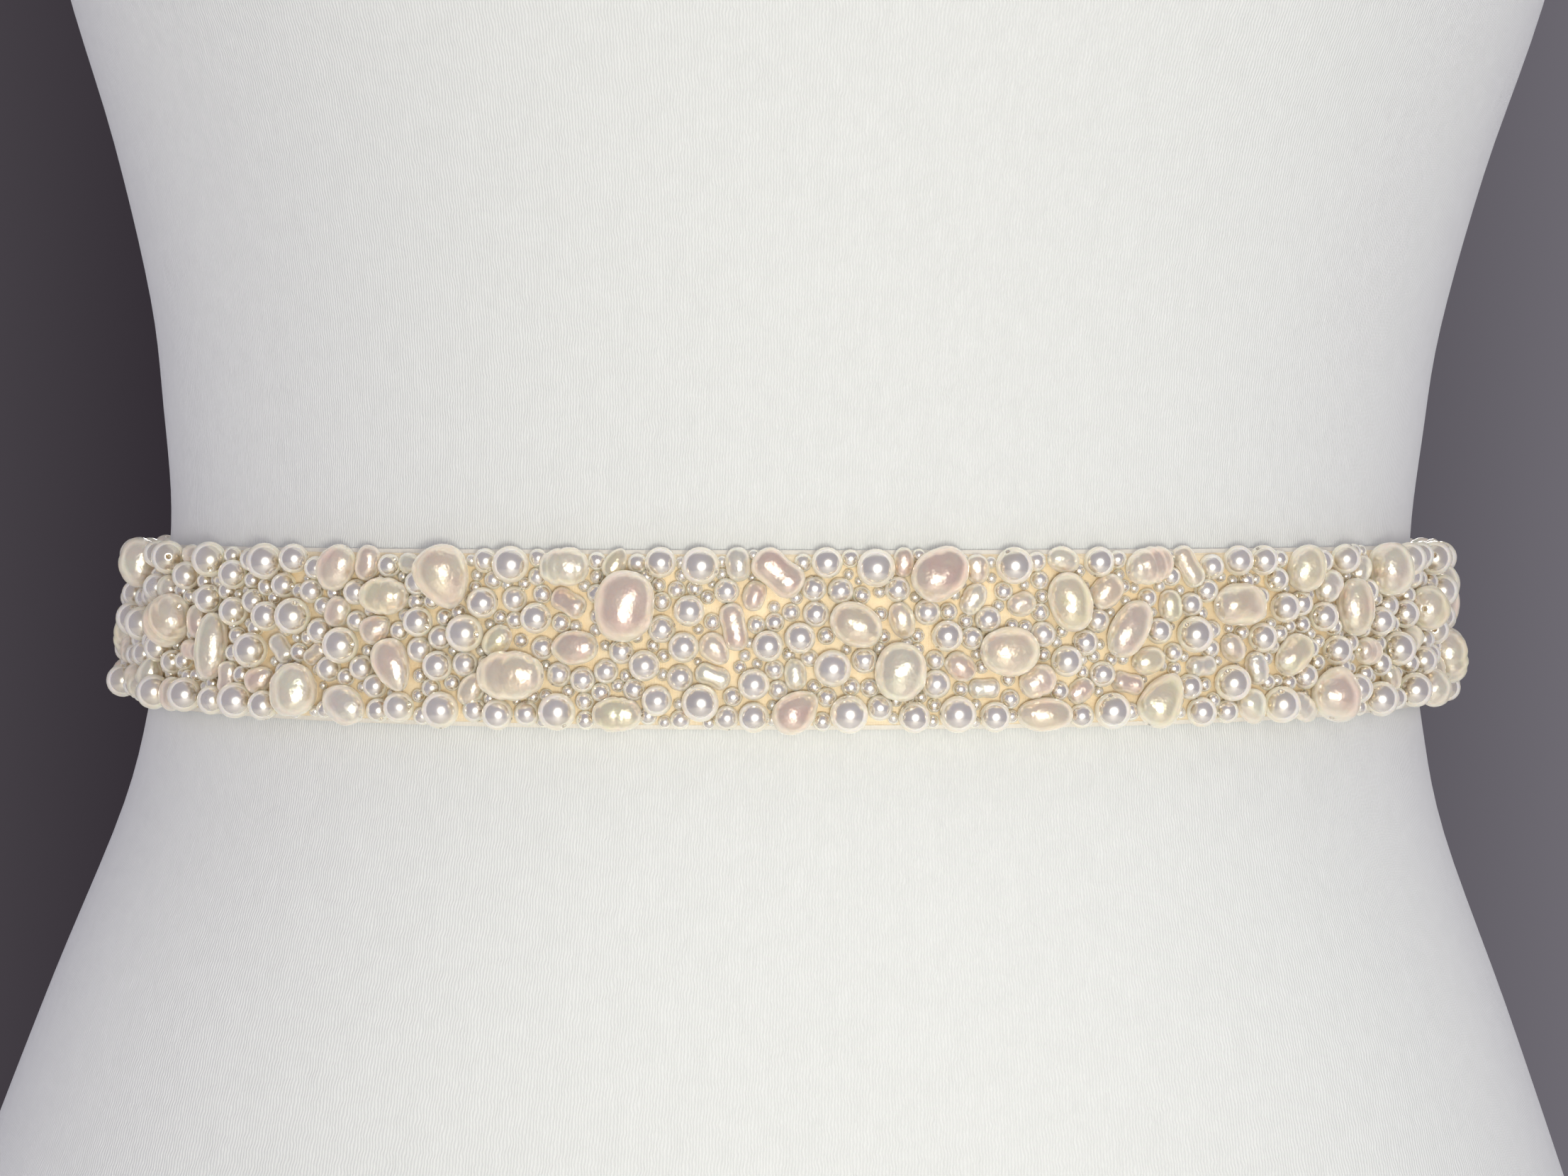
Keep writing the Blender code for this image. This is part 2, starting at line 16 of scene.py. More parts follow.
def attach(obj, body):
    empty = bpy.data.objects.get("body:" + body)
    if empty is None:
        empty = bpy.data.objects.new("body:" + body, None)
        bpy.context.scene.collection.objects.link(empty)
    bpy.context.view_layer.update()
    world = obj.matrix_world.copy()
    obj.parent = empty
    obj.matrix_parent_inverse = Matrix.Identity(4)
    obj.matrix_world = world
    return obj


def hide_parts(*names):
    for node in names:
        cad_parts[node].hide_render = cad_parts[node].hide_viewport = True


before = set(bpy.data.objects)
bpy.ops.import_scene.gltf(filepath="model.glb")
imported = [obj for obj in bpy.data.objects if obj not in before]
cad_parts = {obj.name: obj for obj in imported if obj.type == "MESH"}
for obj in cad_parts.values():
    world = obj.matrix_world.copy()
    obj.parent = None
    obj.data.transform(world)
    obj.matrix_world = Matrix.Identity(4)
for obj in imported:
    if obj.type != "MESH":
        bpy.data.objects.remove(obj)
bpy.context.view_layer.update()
scene = bpy.context.scene

# ---- floor, light and camera
# A round pale table top under the form. A flash and a wide lamp by the lens light the front,
# soft boxes the top, the sides and the back. The camera sees a dark grey cloth behind, painted
# in the world with a painted shadow by the form and painted light towards its edges.

MM = 0.001
TABLE_RADIUS, TABLE_SIDES = 600 * MM, 96


def set_inputs(node, inputs):
    """Sets or links a node's named or numbered inputs."""
    for name, value in inputs.items():
        if isinstance(value, bpy.types.NodeSocket):
            node.id_data.links.new(value, node.inputs[name])
        else:
            node.inputs[name].default_value = value


def add_node(tree, kind, inputs=None, **settings):
    """A shader node of this kind, with these settings and inputs."""
    node = tree.nodes.new("ShaderNode" + kind)
    for name, value in settings.items():
        setattr(node, name, value)
    set_inputs(node, inputs or {})
    return node


def reckon(tree, operation, *values, kind="Math"):
    """What a Math node, or a node of this kind, makes of the values."""
    return add_node(tree, kind, dict(enumerate(values)), operation=operation).outputs[0]


def rescale(tree, value, low, high, new_low=0, new_high=1, **settings):
    """Carries a value from one range to another, and holds it inside."""
    ends = {0: value, 1: low, 2: high, 3: new_low, 4: new_high}
    return add_node(tree, "MapRange", ends, **settings).outputs[0]


def mix_colours(tree, share, first, second):
    """The first colour, with this share of the second."""
    ends = {"Factor": share, 6: first, 7: second}
    return add_node(tree, "Mix", ends, data_type="RGBA").outputs[2]


def own_place(tree):
    """The place on the piece itself, in metres."""
    return add_node(tree, "TexCoord").outputs["Object"]


def add_finish(name, shader_inputs):
    """A new material: its node tree, and its shader with these inputs set."""
    material = bpy.data.materials.new(name)
    material.use_nodes = True
    shader = material.node_tree.nodes["Principled BSDF"]
    set_inputs(shader, shader_inputs)
    return material, material.node_tree, shader


def make_mesh(name, shape):
    """A bmesh made a mesh."""
    mesh = bpy.data.meshes.new(name)
    shape.to_mesh(mesh)
    shape.free()
    return mesh


def add_piece(name, shape, material):
    """A bmesh made a named object at the origin."""
    mesh = make_mesh(name, shape)
    mesh.shade_smooth()
    mesh.materials.append(material)
    piece = bpy.data.objects.new(name, mesh)
    scene.collection.objects.link(piece)
    return piece


def add_effect(name, inputs, outputs):
    """An empty shader node group, with the ends that its nodes link to."""
    group = bpy.data.node_groups.new(name, "ShaderNodeTree")
    for way, sockets in (("INPUT", inputs), ("OUTPUT", outputs)):
        for socket, kind in sockets.items():
            group.interface.new_socket(socket, in_out=way, socket_type="NodeSocket" + kind)
    return group, group.nodes.new("NodeGroupInput").outputs, group.nodes.new("NodeGroupOutput")


mottling, given, found = add_effect(
    "mottling",
    {"Vector": "Vector", "Size": "Float", "Light": "Color", "Dark": "Color"},
    {"Color": "Color", "Mask": "Float"},
)
density = reckon(mottling, "DIVIDE", 1, given["Size"])
clouds = {"Vector": given["Vector"], "Scale": density, "Detail": 3.0, "Roughness": 0.6}
clouds = add_node(mottling, "TexNoise", clouds).outputs["Fac"]
mask = rescale(mottling, clouds, 0.32, 0.68)
patches = mix_colours(mottling, mask, given["Dark"], given["Light"])
set_inputs(found, {"Color": patches, "Mask": mask})


def add_mottling(tree, vector, size, light, dark):
    """The mottling effect in a material: patches of this size in metres."""
    ends = {"Vector": vector, "Size": size}
    for socket, colour in (("Light", light), ("Dark", dark)):
        ends[socket] = colour if isinstance(colour, bpy.types.NodeSocket) else (*colour, 1)
    return add_node(tree, "Group", ends, node_tree=mottling).outputs


def paint(shader, size, light, dark, vector=None):
    """Mottles a shader's colour, and hands back the patches' mask."""
    tree = shader.id_data
    patches = add_mottling(tree, vector or own_place(tree), size, light, dark)
    set_inputs(shader, {"Base Color": patches["Color"]})
    return patches["Mask"]


table_paint, _, shader = add_finish("pale table paint", {"Roughness": 0.6})
paint(shader, 0.09, (0.72, 0.71, 0.69), (0.69, 0.68, 0.66))

shape = bmesh.new()
bmesh.ops.create_circle(shape, cap_ends=True, segments=TABLE_SIDES, radius=TABLE_RADIUS)
table_top = add_piece("pale_table_top", shape, table_paint)

world = scene.world = bpy.data.worlds.new("studio")
world.use_nodes = True
tree = world.node_tree
tree.nodes.clear()
heading = add_node(tree, "TexCoord").outputs["Generated"]
heading = add_node(tree, "SeparateXYZ", {0: heading}).outputs
to_room = rescale(tree, heading["Y"], 0.7, 0)
room = mix_colours(tree, to_room, (0.12, 0.118, 0.12, 1), (0.37, 0.357, 0.4, 1))
to_right = rescale(tree, heading["X"], -0.26, 0.26)
cloth = add_node(tree, "ValToRGB", {"Fac": to_right})
# The backdrop cloth is painted darkest close by the form's left side and lighter towards both
# edges, lightest at the right: painted shadow and painted light.
BACKDROP_SHADOW_AND_LIGHT = [
    (0, (0.062, 0.054, 0.064)),
    (0.13, (0.031, 0.025, 0.032)),
    (0.86, (0.098, 0.09, 0.106)),
    (1, (0.168, 0.158, 0.182)),
]
while len(cloth.color_ramp.elements) < len(BACKDROP_SHADOW_AND_LIGHT):
    cloth.color_ramp.elements.new(0.5)
for stop, (place, colour) in zip(cloth.color_ramp.elements, BACKDROP_SHADOW_AND_LIGHT):
    stop.position, stop.color = place, (*colour, 1)
seen = add_node(tree, "LightPath").outputs["Is Camera Ray"]
colours = (room, cloth.outputs["Color"])
sides = [add_node(tree, "Background", {"Color": colour}).outputs[0] for colour in colours]
backdrop = add_node(tree, "MixShader", {0: seen, 1: sides[0], 2: sides[1]})
add_node(tree, "OutputWorld", {"Surface": backdrop.outputs[0]})

Lamp = namedtuple("Lamp", "name place aim across power colour")
LAMPS = [
    Lamp("lens_lamp", (0.08, -0.6, 0.25), (0.01, 0, 0.27), 0.46, 0.77, (1, 1, 0.91)),
    Lamp("flash", (0.03, -0.58, 0.22), (0.01, 0, 0.27), 0.07, 1.05, (1, 0.99, 0.9)),
    Lamp("top_box", (0.2, -0.3, 1.2), (0, 0, 0.25), 0.7, 1.6, (1, 1, 0.97)),
    Lamp("left_box", (-0.85, -0.05, 0.36), (0, 0, 0.3), 1, 1.7, (0.86, 0.83, 1)),
    Lamp("right_box", (0.85, -0.05, 0.36), (0, 0, 0.3), 1, 1.7, (0.86, 0.83, 1)),
    Lamp("back_box", (0.1, 1.5, 0.75), (0, 0, 0.36), 0.8, 9, (1, 0.99, 0.97)),
]
for lamp in LAMPS:
    light = bpy.data.lights.new(lamp.name, "AREA")
    light.shape = "DISK"
    light.size = lamp.across
    light.energy = lamp.power
    light.color = lamp.colour
    holder = bpy.data.objects.new(lamp.name, light)
    holder.location = lamp.place
    facing = Vector(lamp.aim) - Vector(lamp.place)
    holder.rotation_euler = facing.to_track_quat("-Z", "Y").to_euler()
    holder.visible_camera = False
    holder.visible_glossy = lamp.name in ("lens_lamp", "flash", "back_box")
    scene.collection.objects.link(holder)

LENS, EYE = 70.4, Vector((0, -0.575, 0.266))
LOOK_LEFT, LOOK_DOWN, ROLL = radians(0.095), radians(1.64), radians(1.3)

camera = bpy.data.objects.new("camera", bpy.data.cameras.new("camera"))
camera.data.lens = LENS
camera.data.sensor_width = 36
camera.data.clip_start, camera.data.clip_end = 0.02, 20
camera.matrix_world = (
    Matrix.Translation(EYE) @ Matrix.Rotation(LOOK_LEFT, 4, "Z")
    @ Matrix.Rotation(pi / 2 - LOOK_DOWN, 4, "X") @ Matrix.Rotation(ROLL, 4, "Z")
)
scene.collection.objects.link(camera)
scene.camera = camera
scene.view_settings.view_transform = "Standard"

# ---- the form's padded body
# A limbless torso of firm foam, cut flat at the neck and at the hip. It is shaped by its
# levels, each with its rise over the waist, its half width, its depths and its squareness.

TOUCH = 0.3 * MM
WAIST_HEIGHT = 262 * MM
COVER_WALL = 0.8 * MM
PADDING_SIDES, PADDING_STEPS = 64, 3
Level = namedtuple("Level", "rise half_width front back square")
FORM_ROWS = [
    (-250, 157, 101, 113, 2.3), (-222, 162.5, 104, 118, 2.3), (-190, 163.5, 105, 121, 2.3),
    (-150, 157.5, 102, 117, 2.3), (-116, 145.5, 98, 108, 2.2), (-85, 134, 94, 99, 2.2),
    (-54, 122.2, 90, 91, 2.1), (-34, 117.6, 88, 87, 2.1), (-16, 115.3, 87, 85, 2.1),
    (0, 114.5, 87, 84, 2.1), (18, 116.2, 87, 84, 2.1), (38, 118.9, 89, 86, 2.1),
    (66, 125.9, 94, 91, 2.1), (96, 135, 102, 98, 2.2), (130, 143, 113, 104, 2.2),
    (165, 147.5, 121, 108, 2.2), (200, 149.5, 118, 110, 2.2), (240, 152, 105, 111, 2.3),
    (282, 159, 91, 109, 2.4), (320, 167, 78, 101, 2.4), (346, 169, 68, 91, 2.4),
    (364, 152, 60, 80, 2.3), (380, 116, 54, 69, 2.2), (394, 78, 50, 61, 2.1),
    (410, 60, 48, 56, 2.0), (432, 54.5, 47, 53, 2.0), (455, 53.5, 47, 52, 2.0),
]
FORM_LEVELS = [Level(*row) for row in FORM_ROWS]


def between_rows(rows, place):
    """A smooth curve through a table's rows, in every column; place counts rows."""
    first = min(int(place), len(rows) - 2)
    part = place - first
    ends = [rows[min(max(first + k, 0), len(rows) - 1)] for k in (-1, 0, 1, 2)]
    columns = []
    for a, b, c, d in zip(*ends):
        bend, twist = 2 * a - 5 * b + 4 * c - d, 3 * b - a - 3 * c + d
        columns.append(0.5 * (2 * b + (c - a) * part + bend * part**2 + twist * part**3))
    return Level(*columns)


def level_at(rise):
    """The form's level at a rise in mm, found by halving."""
    low, high = 0.0, len(FORM_LEVELS) - 1.0
    for _ in range(40):
        middle = (low + high) / 2
        if between_rows(FORM_LEVELS, middle).rise < rise:
            low = middle
        else:
            high = middle
    return between_rows(FORM_LEVELS, low)


def form_point(level, angle, inset=0.0):
    """A point of the form's outline; angle 0 is the centre front, and +90 degrees is +X."""
    across = abs(sin(angle)) / (level.half_width - inset)
    depth = level.front if cos(angle) > 0 else level.back
    along = abs(cos(angle)) / (depth - inset)
    reach = (across**level.square + along**level.square) ** (-1 / level.square) * MM
    height = WAIST_HEIGHT + level.rise * MM
    return Vector((reach * sin(angle), -reach * cos(angle), height))


def extrude_line(shape, edges):
    """Draws a line or ring of edges on: its new corners and edges."""
    made = bmesh.ops.extrude_edge_only(shape, edges=edges)["geom"]
    line = {g for g in made if isinstance(g, bmesh.types.BMVert)}
    edges = [g for g in made if isinstance(g, bmesh.types.BMEdge)]
    return line, [e for e in edges if line.issuperset(e.verts)]


def loft_form(sides, steps, inset=0.0, turned_in=0.0):
    """The form's skin, inset by so many mm and drawn up from the hip, level after level.

    It is closed at both ends, or turned in there by so many mm.
    """
    last = len(FORM_LEVELS) - 1
    rows = [(between_rows(FORM_LEVELS, k / steps), inset) for k in range(last * steps + 1)]
    if turned_in:
        rows = [(rows[0][0], turned_in), *rows, (rows[-1][0], turned_in)]
    shape = bmesh.new()
    bmesh.ops.create_circle(shape, cap_ends=not turned_in, segments=sides, radius=1)
    ring, edges = shape.verts[:], shape.edges[:]
    for number, (level, in_by) in enumerate(rows):
        if number:
            ring, edges = extrude_line(shape, edges)
        for vert in ring:
            vert.co = form_point(level, atan2(vert.co.x, -vert.co.y), in_by)
    if not turned_in:
        shift = Vector((0, 0, inset * MM))
        for vert in ring:
            vert.co -= shift
        foot = min(v.co.z for v in shape.verts)
        for vert in shape.verts:
            if vert.co.z < foot + 1e-6:
                vert.co += shift
        bmesh.ops.edgeloop_fill(shape, edges=edges)
    bmesh.ops.recalc_face_normals(shape, faces=shape.faces[:])
    return shape


def add_relief(shader, height, distance, strength=1.0):
    """Raises a shader's surface: a height of 1 is this distance in metres."""
    ends = {"Height": height, "Distance": distance, "Strength": strength}
    set_inputs(shader, {"Normal": add_node(shader.id_data, "Bump", ends).outputs[0]})


foam, _, shader = add_finish("white foam", {"Roughness": 0.95})
pores = paint(shader, 0.004, (0.84, 0.83, 0.8), (0.78, 0.77, 0.74))
add_relief(shader, pores, 0.0004)

shape = loft_form(PADDING_SIDES, PADDING_STEPS, inset=(COVER_WALL + TOUCH) / MM)
form_padding = add_piece("form_padding", shape, foam)
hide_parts("form_torso")
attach(form_padding, "root")

# ---- the form's jersey cover
# A tube of fine white rib-knit jersey, seamed at the centre back, pulled tight over the
# padding and turned in under the hip and over the neck. Its wales run straight up the body.

COVER_SIDES, COVER_STEPS = 144, 5
TURNED_IN = 11 * MM
WALE, COURSE = 0.46 * MM, 0.62 * MM
SEAM_HALF, SEAM_RISE, SEAM_WALL, SEAM_LET_IN = 0.9 * MM, 0.3 * MM, 0.25 * MM, 0.1 * MM
SEAM_ARC = 4
SEAM_FOOT, SEAM_STEP, SEAM_STEPS = -249, 4, 176
STITCH_AROUND, STITCH_ALONG = 6, 5
HEM_STITCH, HEM_STITCH_STEP, HEM_THREAD = 2 * MM, 3.2 * MM, 0.36 * MM
HEM_RISES = (-234, -231)

ribs, given, found = add_effect(
    "threads",
    {"Vector": "Vector", **dict.fromkeys(("Across", "Along", "Cross Share", "Wander"), "Float")},
    {"Height": "Float", "Groove Shade": "Float"},
)
waver = add_node(ribs, "TexNoise", {"Vector": given["Vector"], "Scale": 420.0, "Detail": 2.0})
centred = reckon(ribs, "SUBTRACT", waver.outputs["Color"], (0.5, 0.5, 0.5), kind="VectorMath")
moved = add_node(ribs, "VectorMath", {0: centred, "Scale": given["Wander"]}, operation="SCALE")
where = reckon(ribs, "ADD", given["Vector"], moved.outputs[0], kind="VectorMath")
where = add_node(ribs, "SeparateXYZ", {0: where}).outputs
waves = []
for axis, pitch in (("X", "Across"), ("Y", "Along")):
    turns = reckon(ribs, "DIVIDE", where[axis], given[pitch])
    turns = reckon(ribs, "MULTIPLY", turns, 2 * pi)
    waves.append(rescale(ribs, reckon(ribs, "SINE", turns), -1, 1))
crossed = reckon(ribs, "MULTIPLY", waves[1], given["Cross Share"])
# Shade is lowest in the grooves between the threads, for painted shade there.
set_inputs(found, {"Height": reckon(ribs, "ADD", waves[0], crossed), "Groove Shade": waves[0]})


def add_threads(tree, across, along, cross_share, wander):
    """The threads effect in a material, on the piece's own cloth map, in metres."""
    ends = {"Across": across, "Along": along, "Cross Share": cross_share, "Wander": wander}
    ends["Vector"] = add_node(tree, "UVMap", uv_map="cloth").outputs["UV"]
    return add_node(tree, "Group", ends, node_tree=ribs).outputs


def map_cloth(shape, flat_place):
    """Gives every corner of every face its place on the flat cloth."""
    flat = shape.loops.layers.uv.new("cloth")
    for face in shape.faces:
        middle = face.calc_center_median()
        for loop in face.loops:
            loop[flat].uv = flat_place(middle, loop.vert)


def add_wall(piece, thickness, offset):
    """Gives a sheet its thickness: to both sides at an offset of 0, inwards at -1."""
    wall = piece.modifiers.new("wall", "SOLIDIFY")
    wall.thickness, wall.offset = thickness, offset


def run_along(points):
    """The length of the way along these points, up to each of them."""
    return np.concatenate([[0], np.cumsum(np.linalg.norm(np.diff(points, axis=0), axis=1))])


def girth_at(level, steps):
    """Angles all round the form at a level, and the length of the way to each."""
    angles = np.linspace(-pi, pi, steps + 1)
    return angles, run_along(np.array([form_point(level, a) for a in angles]))


jersey, tree, shader = add_finish(
    "white rib jersey",
    {"Roughness": 0.92, "Sheen Weight": 0.12, "Sheen Roughness": 0.5, "Specular IOR Level": 0.2},
)
wales = add_threads(tree, WALE, COURSE, 0.0, 0.0008)
place = own_place(tree)
patches = add_mottling(tree, place, 0.0035, (0.785, 0.797, 0.78), (0.762, 0.774, 0.757))
# The jersey is painted up to a tenth darker in the grooves between its wales: painted shade.
groove_shade = rescale(tree, wales["Groove Shade"], 0, 1, 0.9)
tint = add_node(tree, "VectorMath", {0: patches["Color"], "Scale": groove_shade}, operation="SCALE")
set_inputs(shader, {"Base Color": tint.outputs[0]})
add_relief(shader, wales["Height"], 0.00008, 0.8)

waist = next(level for level in FORM_LEVELS if level.rise == 0)
waist_angles, waist_run = girth_at(waist, 720)


def jersey_place(middle, vert):
    """Round the waist's girth and up the form, with the seam at the centre back."""
    angle = atan2(vert.co.x, -vert.co.y)
    if abs(angle) > pi - 1e-3:
        angle = copysign(pi, middle.x)
    return float(np.interp(angle, waist_angles, waist_run)), vert.co.z


shape = loft_form(COVER_SIDES, COVER_STEPS, turned_in=TURNED_IN / MM)
map_cloth(shape, jersey_place)
form_cover = add_piece("form_jersey_cover", shape, jersey)
add_wall(form_cover, COVER_WALL, -1)
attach(form_cover, "root")

shape = bmesh.new()
line = [shape.verts.new((k, 0, 0)) for k in range(SEAM_ARC + 1)]
edges = [shape.edges.new(pair) for pair in zip(line, line[1:])]
for number in range(SEAM_STEPS):
    if number:
        line, edges = extrude_line(shape, edges)
    foot = form_point(level_at(number * SEAM_STEP + SEAM_FOOT), pi)
    for k, vert in enumerate(sorted(line, key=lambda v: v.co.x)):
        share = k / SEAM_ARC * 2 - 1
        rise_out = SEAM_RISE * (1 - share * share) - SEAM_LET_IN
        vert.co = foot + Vector((share * SEAM_HALF, rise_out, 0))
map_cloth(shape, lambda middle, vert: (vert.co.x, vert.co.z))
bmesh.ops.recalc_face_normals(shape, faces=shape.faces[:])
form_seam = add_piece("form_cover_seam", shape, jersey)
add_wall(form_seam, SEAM_WALL, -1)
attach(form_seam, "root")

made = bmesh.new()
bmesh.ops.create_uvsphere(made, u_segments=STITCH_AROUND, v_segments=STITCH_ALONG, radius=1)
stitch = make_mesh("stitch", made)


def add_copy(shape, mesh):
    """Adds a copy of a small mesh to a shape, and hands back its corners."""
    count = len(shape.verts)
    shape.from_mesh(mesh)
    shape.verts.ensure_lookup_table()
    return shape.verts[count:]


def sew(shape, place, run, out, length, across):
    """One stitch: a short thread that lies on the cloth, its ends let in."""
    side = out.cross(run).normalized()
    run = side.cross(out).normalized()
    turn = Matrix((side, out, run)).transposed().to_4x4()
    size = Matrix.Diagonal((across / 2, across / 2, length / 2, 1))
    lie = Matrix.Translation(place) @ turn @ size
    for vert in add_copy(shape, stitch):
        vert.co = lie @ vert.co


thread, _, shader = add_finish(
    "silk thread", {"Roughness": 0.45, "Sheen Weight": 0.2, "Specular IOR Level": 0.5}
)
paint(shader, 0.0006, (0.93, 0.9, 0.82), (0.84, 0.8, 0.7))

shape = bmesh.new()
for rise in HEM_RISES:
    level = level_at(rise)
    angles, run = girth_at(level, 1440)
    for step in range(int(run[-1] / HEM_STITCH_STEP)):
        angle = float(np.interp(step * HEM_STITCH_STEP, run, angles))
        here, after = form_point(level, angle), form_point(level, angle + 0.01)
        along = (after - here).normalized()
        sew(shape, here, along, along.cross(Vector((0, 0, 1))), HEM_STITCH, HEM_THREAD)
form_hem_stitches = add_piece("form_hem_stitches", shape, thread)
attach(form_hem_stitches, "root")

# ---- the form's board and cap
# Two plates of birch ply close the form: the board that it stands on, and the cap on the
# neck. Their edges are eased with a sander, and a thin warm white paint lets the grain show.

painted_ply, tree, shader = add_finish("painted ply", {"Roughness": 0.42, "Coat Weight": 0.1})
drawn = add_node(tree, "Mapping", {"Vector": own_place(tree), "Scale": (1, 14, 40)})
grain = paint(shader, 0.06, (0.82, 0.8, 0.76), (0.76, 0.735, 0.69), drawn.outputs[0])
add_relief(shader, grain, 0.0001)
for name in ("form_base_board", "form_neck_cap"):
    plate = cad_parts[name]
    for number in range(len(plate.material_slots)):
        plate.material_slots[number].material = painted_ply

# ---- the satin ribbon
# One length of ivory double satin, worn once round the waist. Its upper end is turned in a
# hem, and laps over the lower end at the centre back, where press studs hold it shut.

RIBBON_WIDTH = 28.5 * MM
BAND_DROP = 18.2 * MM
BAND_TILT = radians(1.3)
BAND_CLEARANCE = 0.4 * MM
BAND_STEPS = 1440
RIBBON_WALL, GROUND_WALL = 1 * MM, 1 * MM
SATIN, FOLD = 0.45 * MM, 0.42 * MM
RIBBON_STEPS, RIBBON_ROWS = 640, 10
RIPPLE, RIPPLE_RUN, RIPPLE_UP = 0.12 * MM, 22, 55
LAP = 25 * MM
HEM, HEM_STEP = 9 * MM, 0.5 * MM
STUD_THICKNESS = 1.6 * MM
LAP_LIFT = RIBBON_WALL + 2 * TOUCH + STUD_THICKNESS
RAMP_START, RAMP_END = 62 * MM, 24 * MM
HEM_STITCHES, HEM_STITCH_GAP, HEM_STITCH_IN = 9, 2.9, 7 * MM
Band = namedtuple("Band", "along top bottom normal round")


def measure_band():
    """Straight lines down the form, from the ribbon's upper to its lower edge, all round.

    along is the distance round the band from the centre front, at the ground's outer face.
    """
    top, bottom = [], []
    angles = np.linspace(-pi, pi, BAND_STEPS + 1)
    middle = level_at(-BAND_DROP / MM)
    levels = {}
    for angle in angles:
        lean = tan(BAND_TILT) * form_point(middle, angle).x
        for edge, side in ((top, 0.5), (bottom, -0.5)):
            rise = round((lean - BAND_DROP + side * RIBBON_WIDTH) / MM, 2)
            if rise not in levels:
                levels[rise] = level_at(rise)
            edge.append(form_point(levels[rise], angle))
    top, bottom = np.array(top), np.array(bottom)
    centre = (top + bottom) / 2
    run = np.gradient(centre, axis=0)
    run[0] = run[-1] = (centre[1] - centre[-2]) / 2
    normal = np.cross(run, top - bottom)
    normal /= np.linalg.norm(normal, axis=1)[:, None]
    face = centre + normal * (BAND_CLEARANCE + RIBBON_WALL + TOUCH + GROUND_WALL)
    along = run_along(face)
    return Band(along - along[-1] / 2, top, bottom, normal, along[-1])


band = measure_band()


def band_point(along, up, out):
    """The point this far round the band, up from its middle line, and out from the form."""
    place = (along + band.round / 2) % band.round - band.round / 2

    def at(rows):
        return np.array([np.interp(place, band.along, rows[:, k]) for k in range(3)])

    share = 0.5 + up / RIBBON_WIDTH
    foot = at(band.bottom) * (1 - share) + at(band.top) * share
    return Vector(foot + at(band.normal) * out)


def band_ways(along, up, out):
    """A point of the band, with its directions along the band, up it and out of it."""
    here = band_point(along, up, out)
    outward = (band_point(along, up, out + MM) - here).normalized()
    run = (band_point(along + MM, up, out) - here).normalized()
    return here, run, outward.cross(run).normalized(), outward


def ease(height, share):
    """Rises to this height as share goes from 0 to 1, slowly at both ends."""
    share = min(max(share, 0.0), 1.0)
    return height * share * share * (3 - 2 * share)


def ribbon_out(along):
    """How far the ribbon is off the form: its upper end rises over the lower."""
    to_centre_back = band.round / 2 - along
    share = (RAMP_START - to_centre_back) / (RAMP_START - RAMP_END)
    return BAND_CLEARANCE + ease(LAP_LIFT, share)


ribbon_end = (band.round + LAP) / 2
fold_length = pi * FOLD
ribbon_length = 2 * ribbon_end - FOLD + fold_length + HEM


def ribbon_lie(run):
    """Where the cloth lies this far from its lower end, and how far off the form."""
    turn = 2 * ribbon_end - FOLD
    back = ribbon_out(ribbon_end - HEM) + SATIN / 2
    if run <= turn:
        along = run - ribbon_end
        face = RIBBON_WALL + ease(HEM_STEP, (along - ribbon_end + HEM + 2 * MM) / (2 * MM))
        return along, ribbon_out(along) + face - SATIN / 2
    front = ribbon_out(ribbon_end) + RIBBON_WALL + HEM_STEP - SATIN / 2
    if run <= turn + fold_length:
        angle = (run - turn) / FOLD
        middle, half = (front + back) / 2, (front - back) / 2
        return ribbon_end - FOLD + FOLD * sin(angle), middle + half * cos(angle)
    return ribbon_end - FOLD - (run - turn - fold_length), back


def lay_strip(steps, rows, lie):
    """A strip of cloth: lie turns a unit square's place into a flat place and a point."""
    shape = bmesh.new()
    bmesh.ops.create_grid(shape, x_segments=steps, y_segments=rows, size=0.5)
    flat_places = {}
    for vert in shape.verts:
        flat_places[vert.index], vert.co = lie(vert.co.x, vert.co.y)
    map_cloth(shape, lambda middle, vert: flat_places[vert.index])
    return shape


def ribbon_place(x, y):
    """The ribbon, with a faint ripple that dies out at its woven edges."""
    run, up = (x + 0.5) * ribbon_length, y * RIBBON_WIDTH
    along, out = ribbon_lie(run)
    calm = 1 - abs(y * 2) ** 6
    ripple = noise.noise(Vector((run * RIPPLE_RUN, up * RIPPLE_UP, 3.1))) * RIPPLE * calm
    return (run, up), band_point(along, up, out + ripple)


satin, tree, shader = add_finish(
    "ivory satin",
    {
        "Roughness": 0.34, "Anisotropic": 0.45, "Specular IOR Level": 0.6,
        "Sheen Weight": 0.25, "Sheen Roughness": 0.3, "Sheen Tint": (1, 0.97, 0.9, 1),
    },
)
floats = add_threads(tree, 0.55 * MM, 0.16 * MM, 0.35, 0.00006)
paint(shader, 0.012, (0.93, 0.885, 0.79), (0.9, 0.85, 0.745))
add_relief(shader, floats["Height"], 0.00003, 0.6)

shape = lay_strip(RIBBON_STEPS, RIBBON_ROWS, ribbon_place)
sash_satin = add_piece("sash_satin_ribbon", shape, satin)
add_wall(sash_satin, SATIN, 0)
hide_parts("sash_ribbon")
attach(sash_satin, "root")

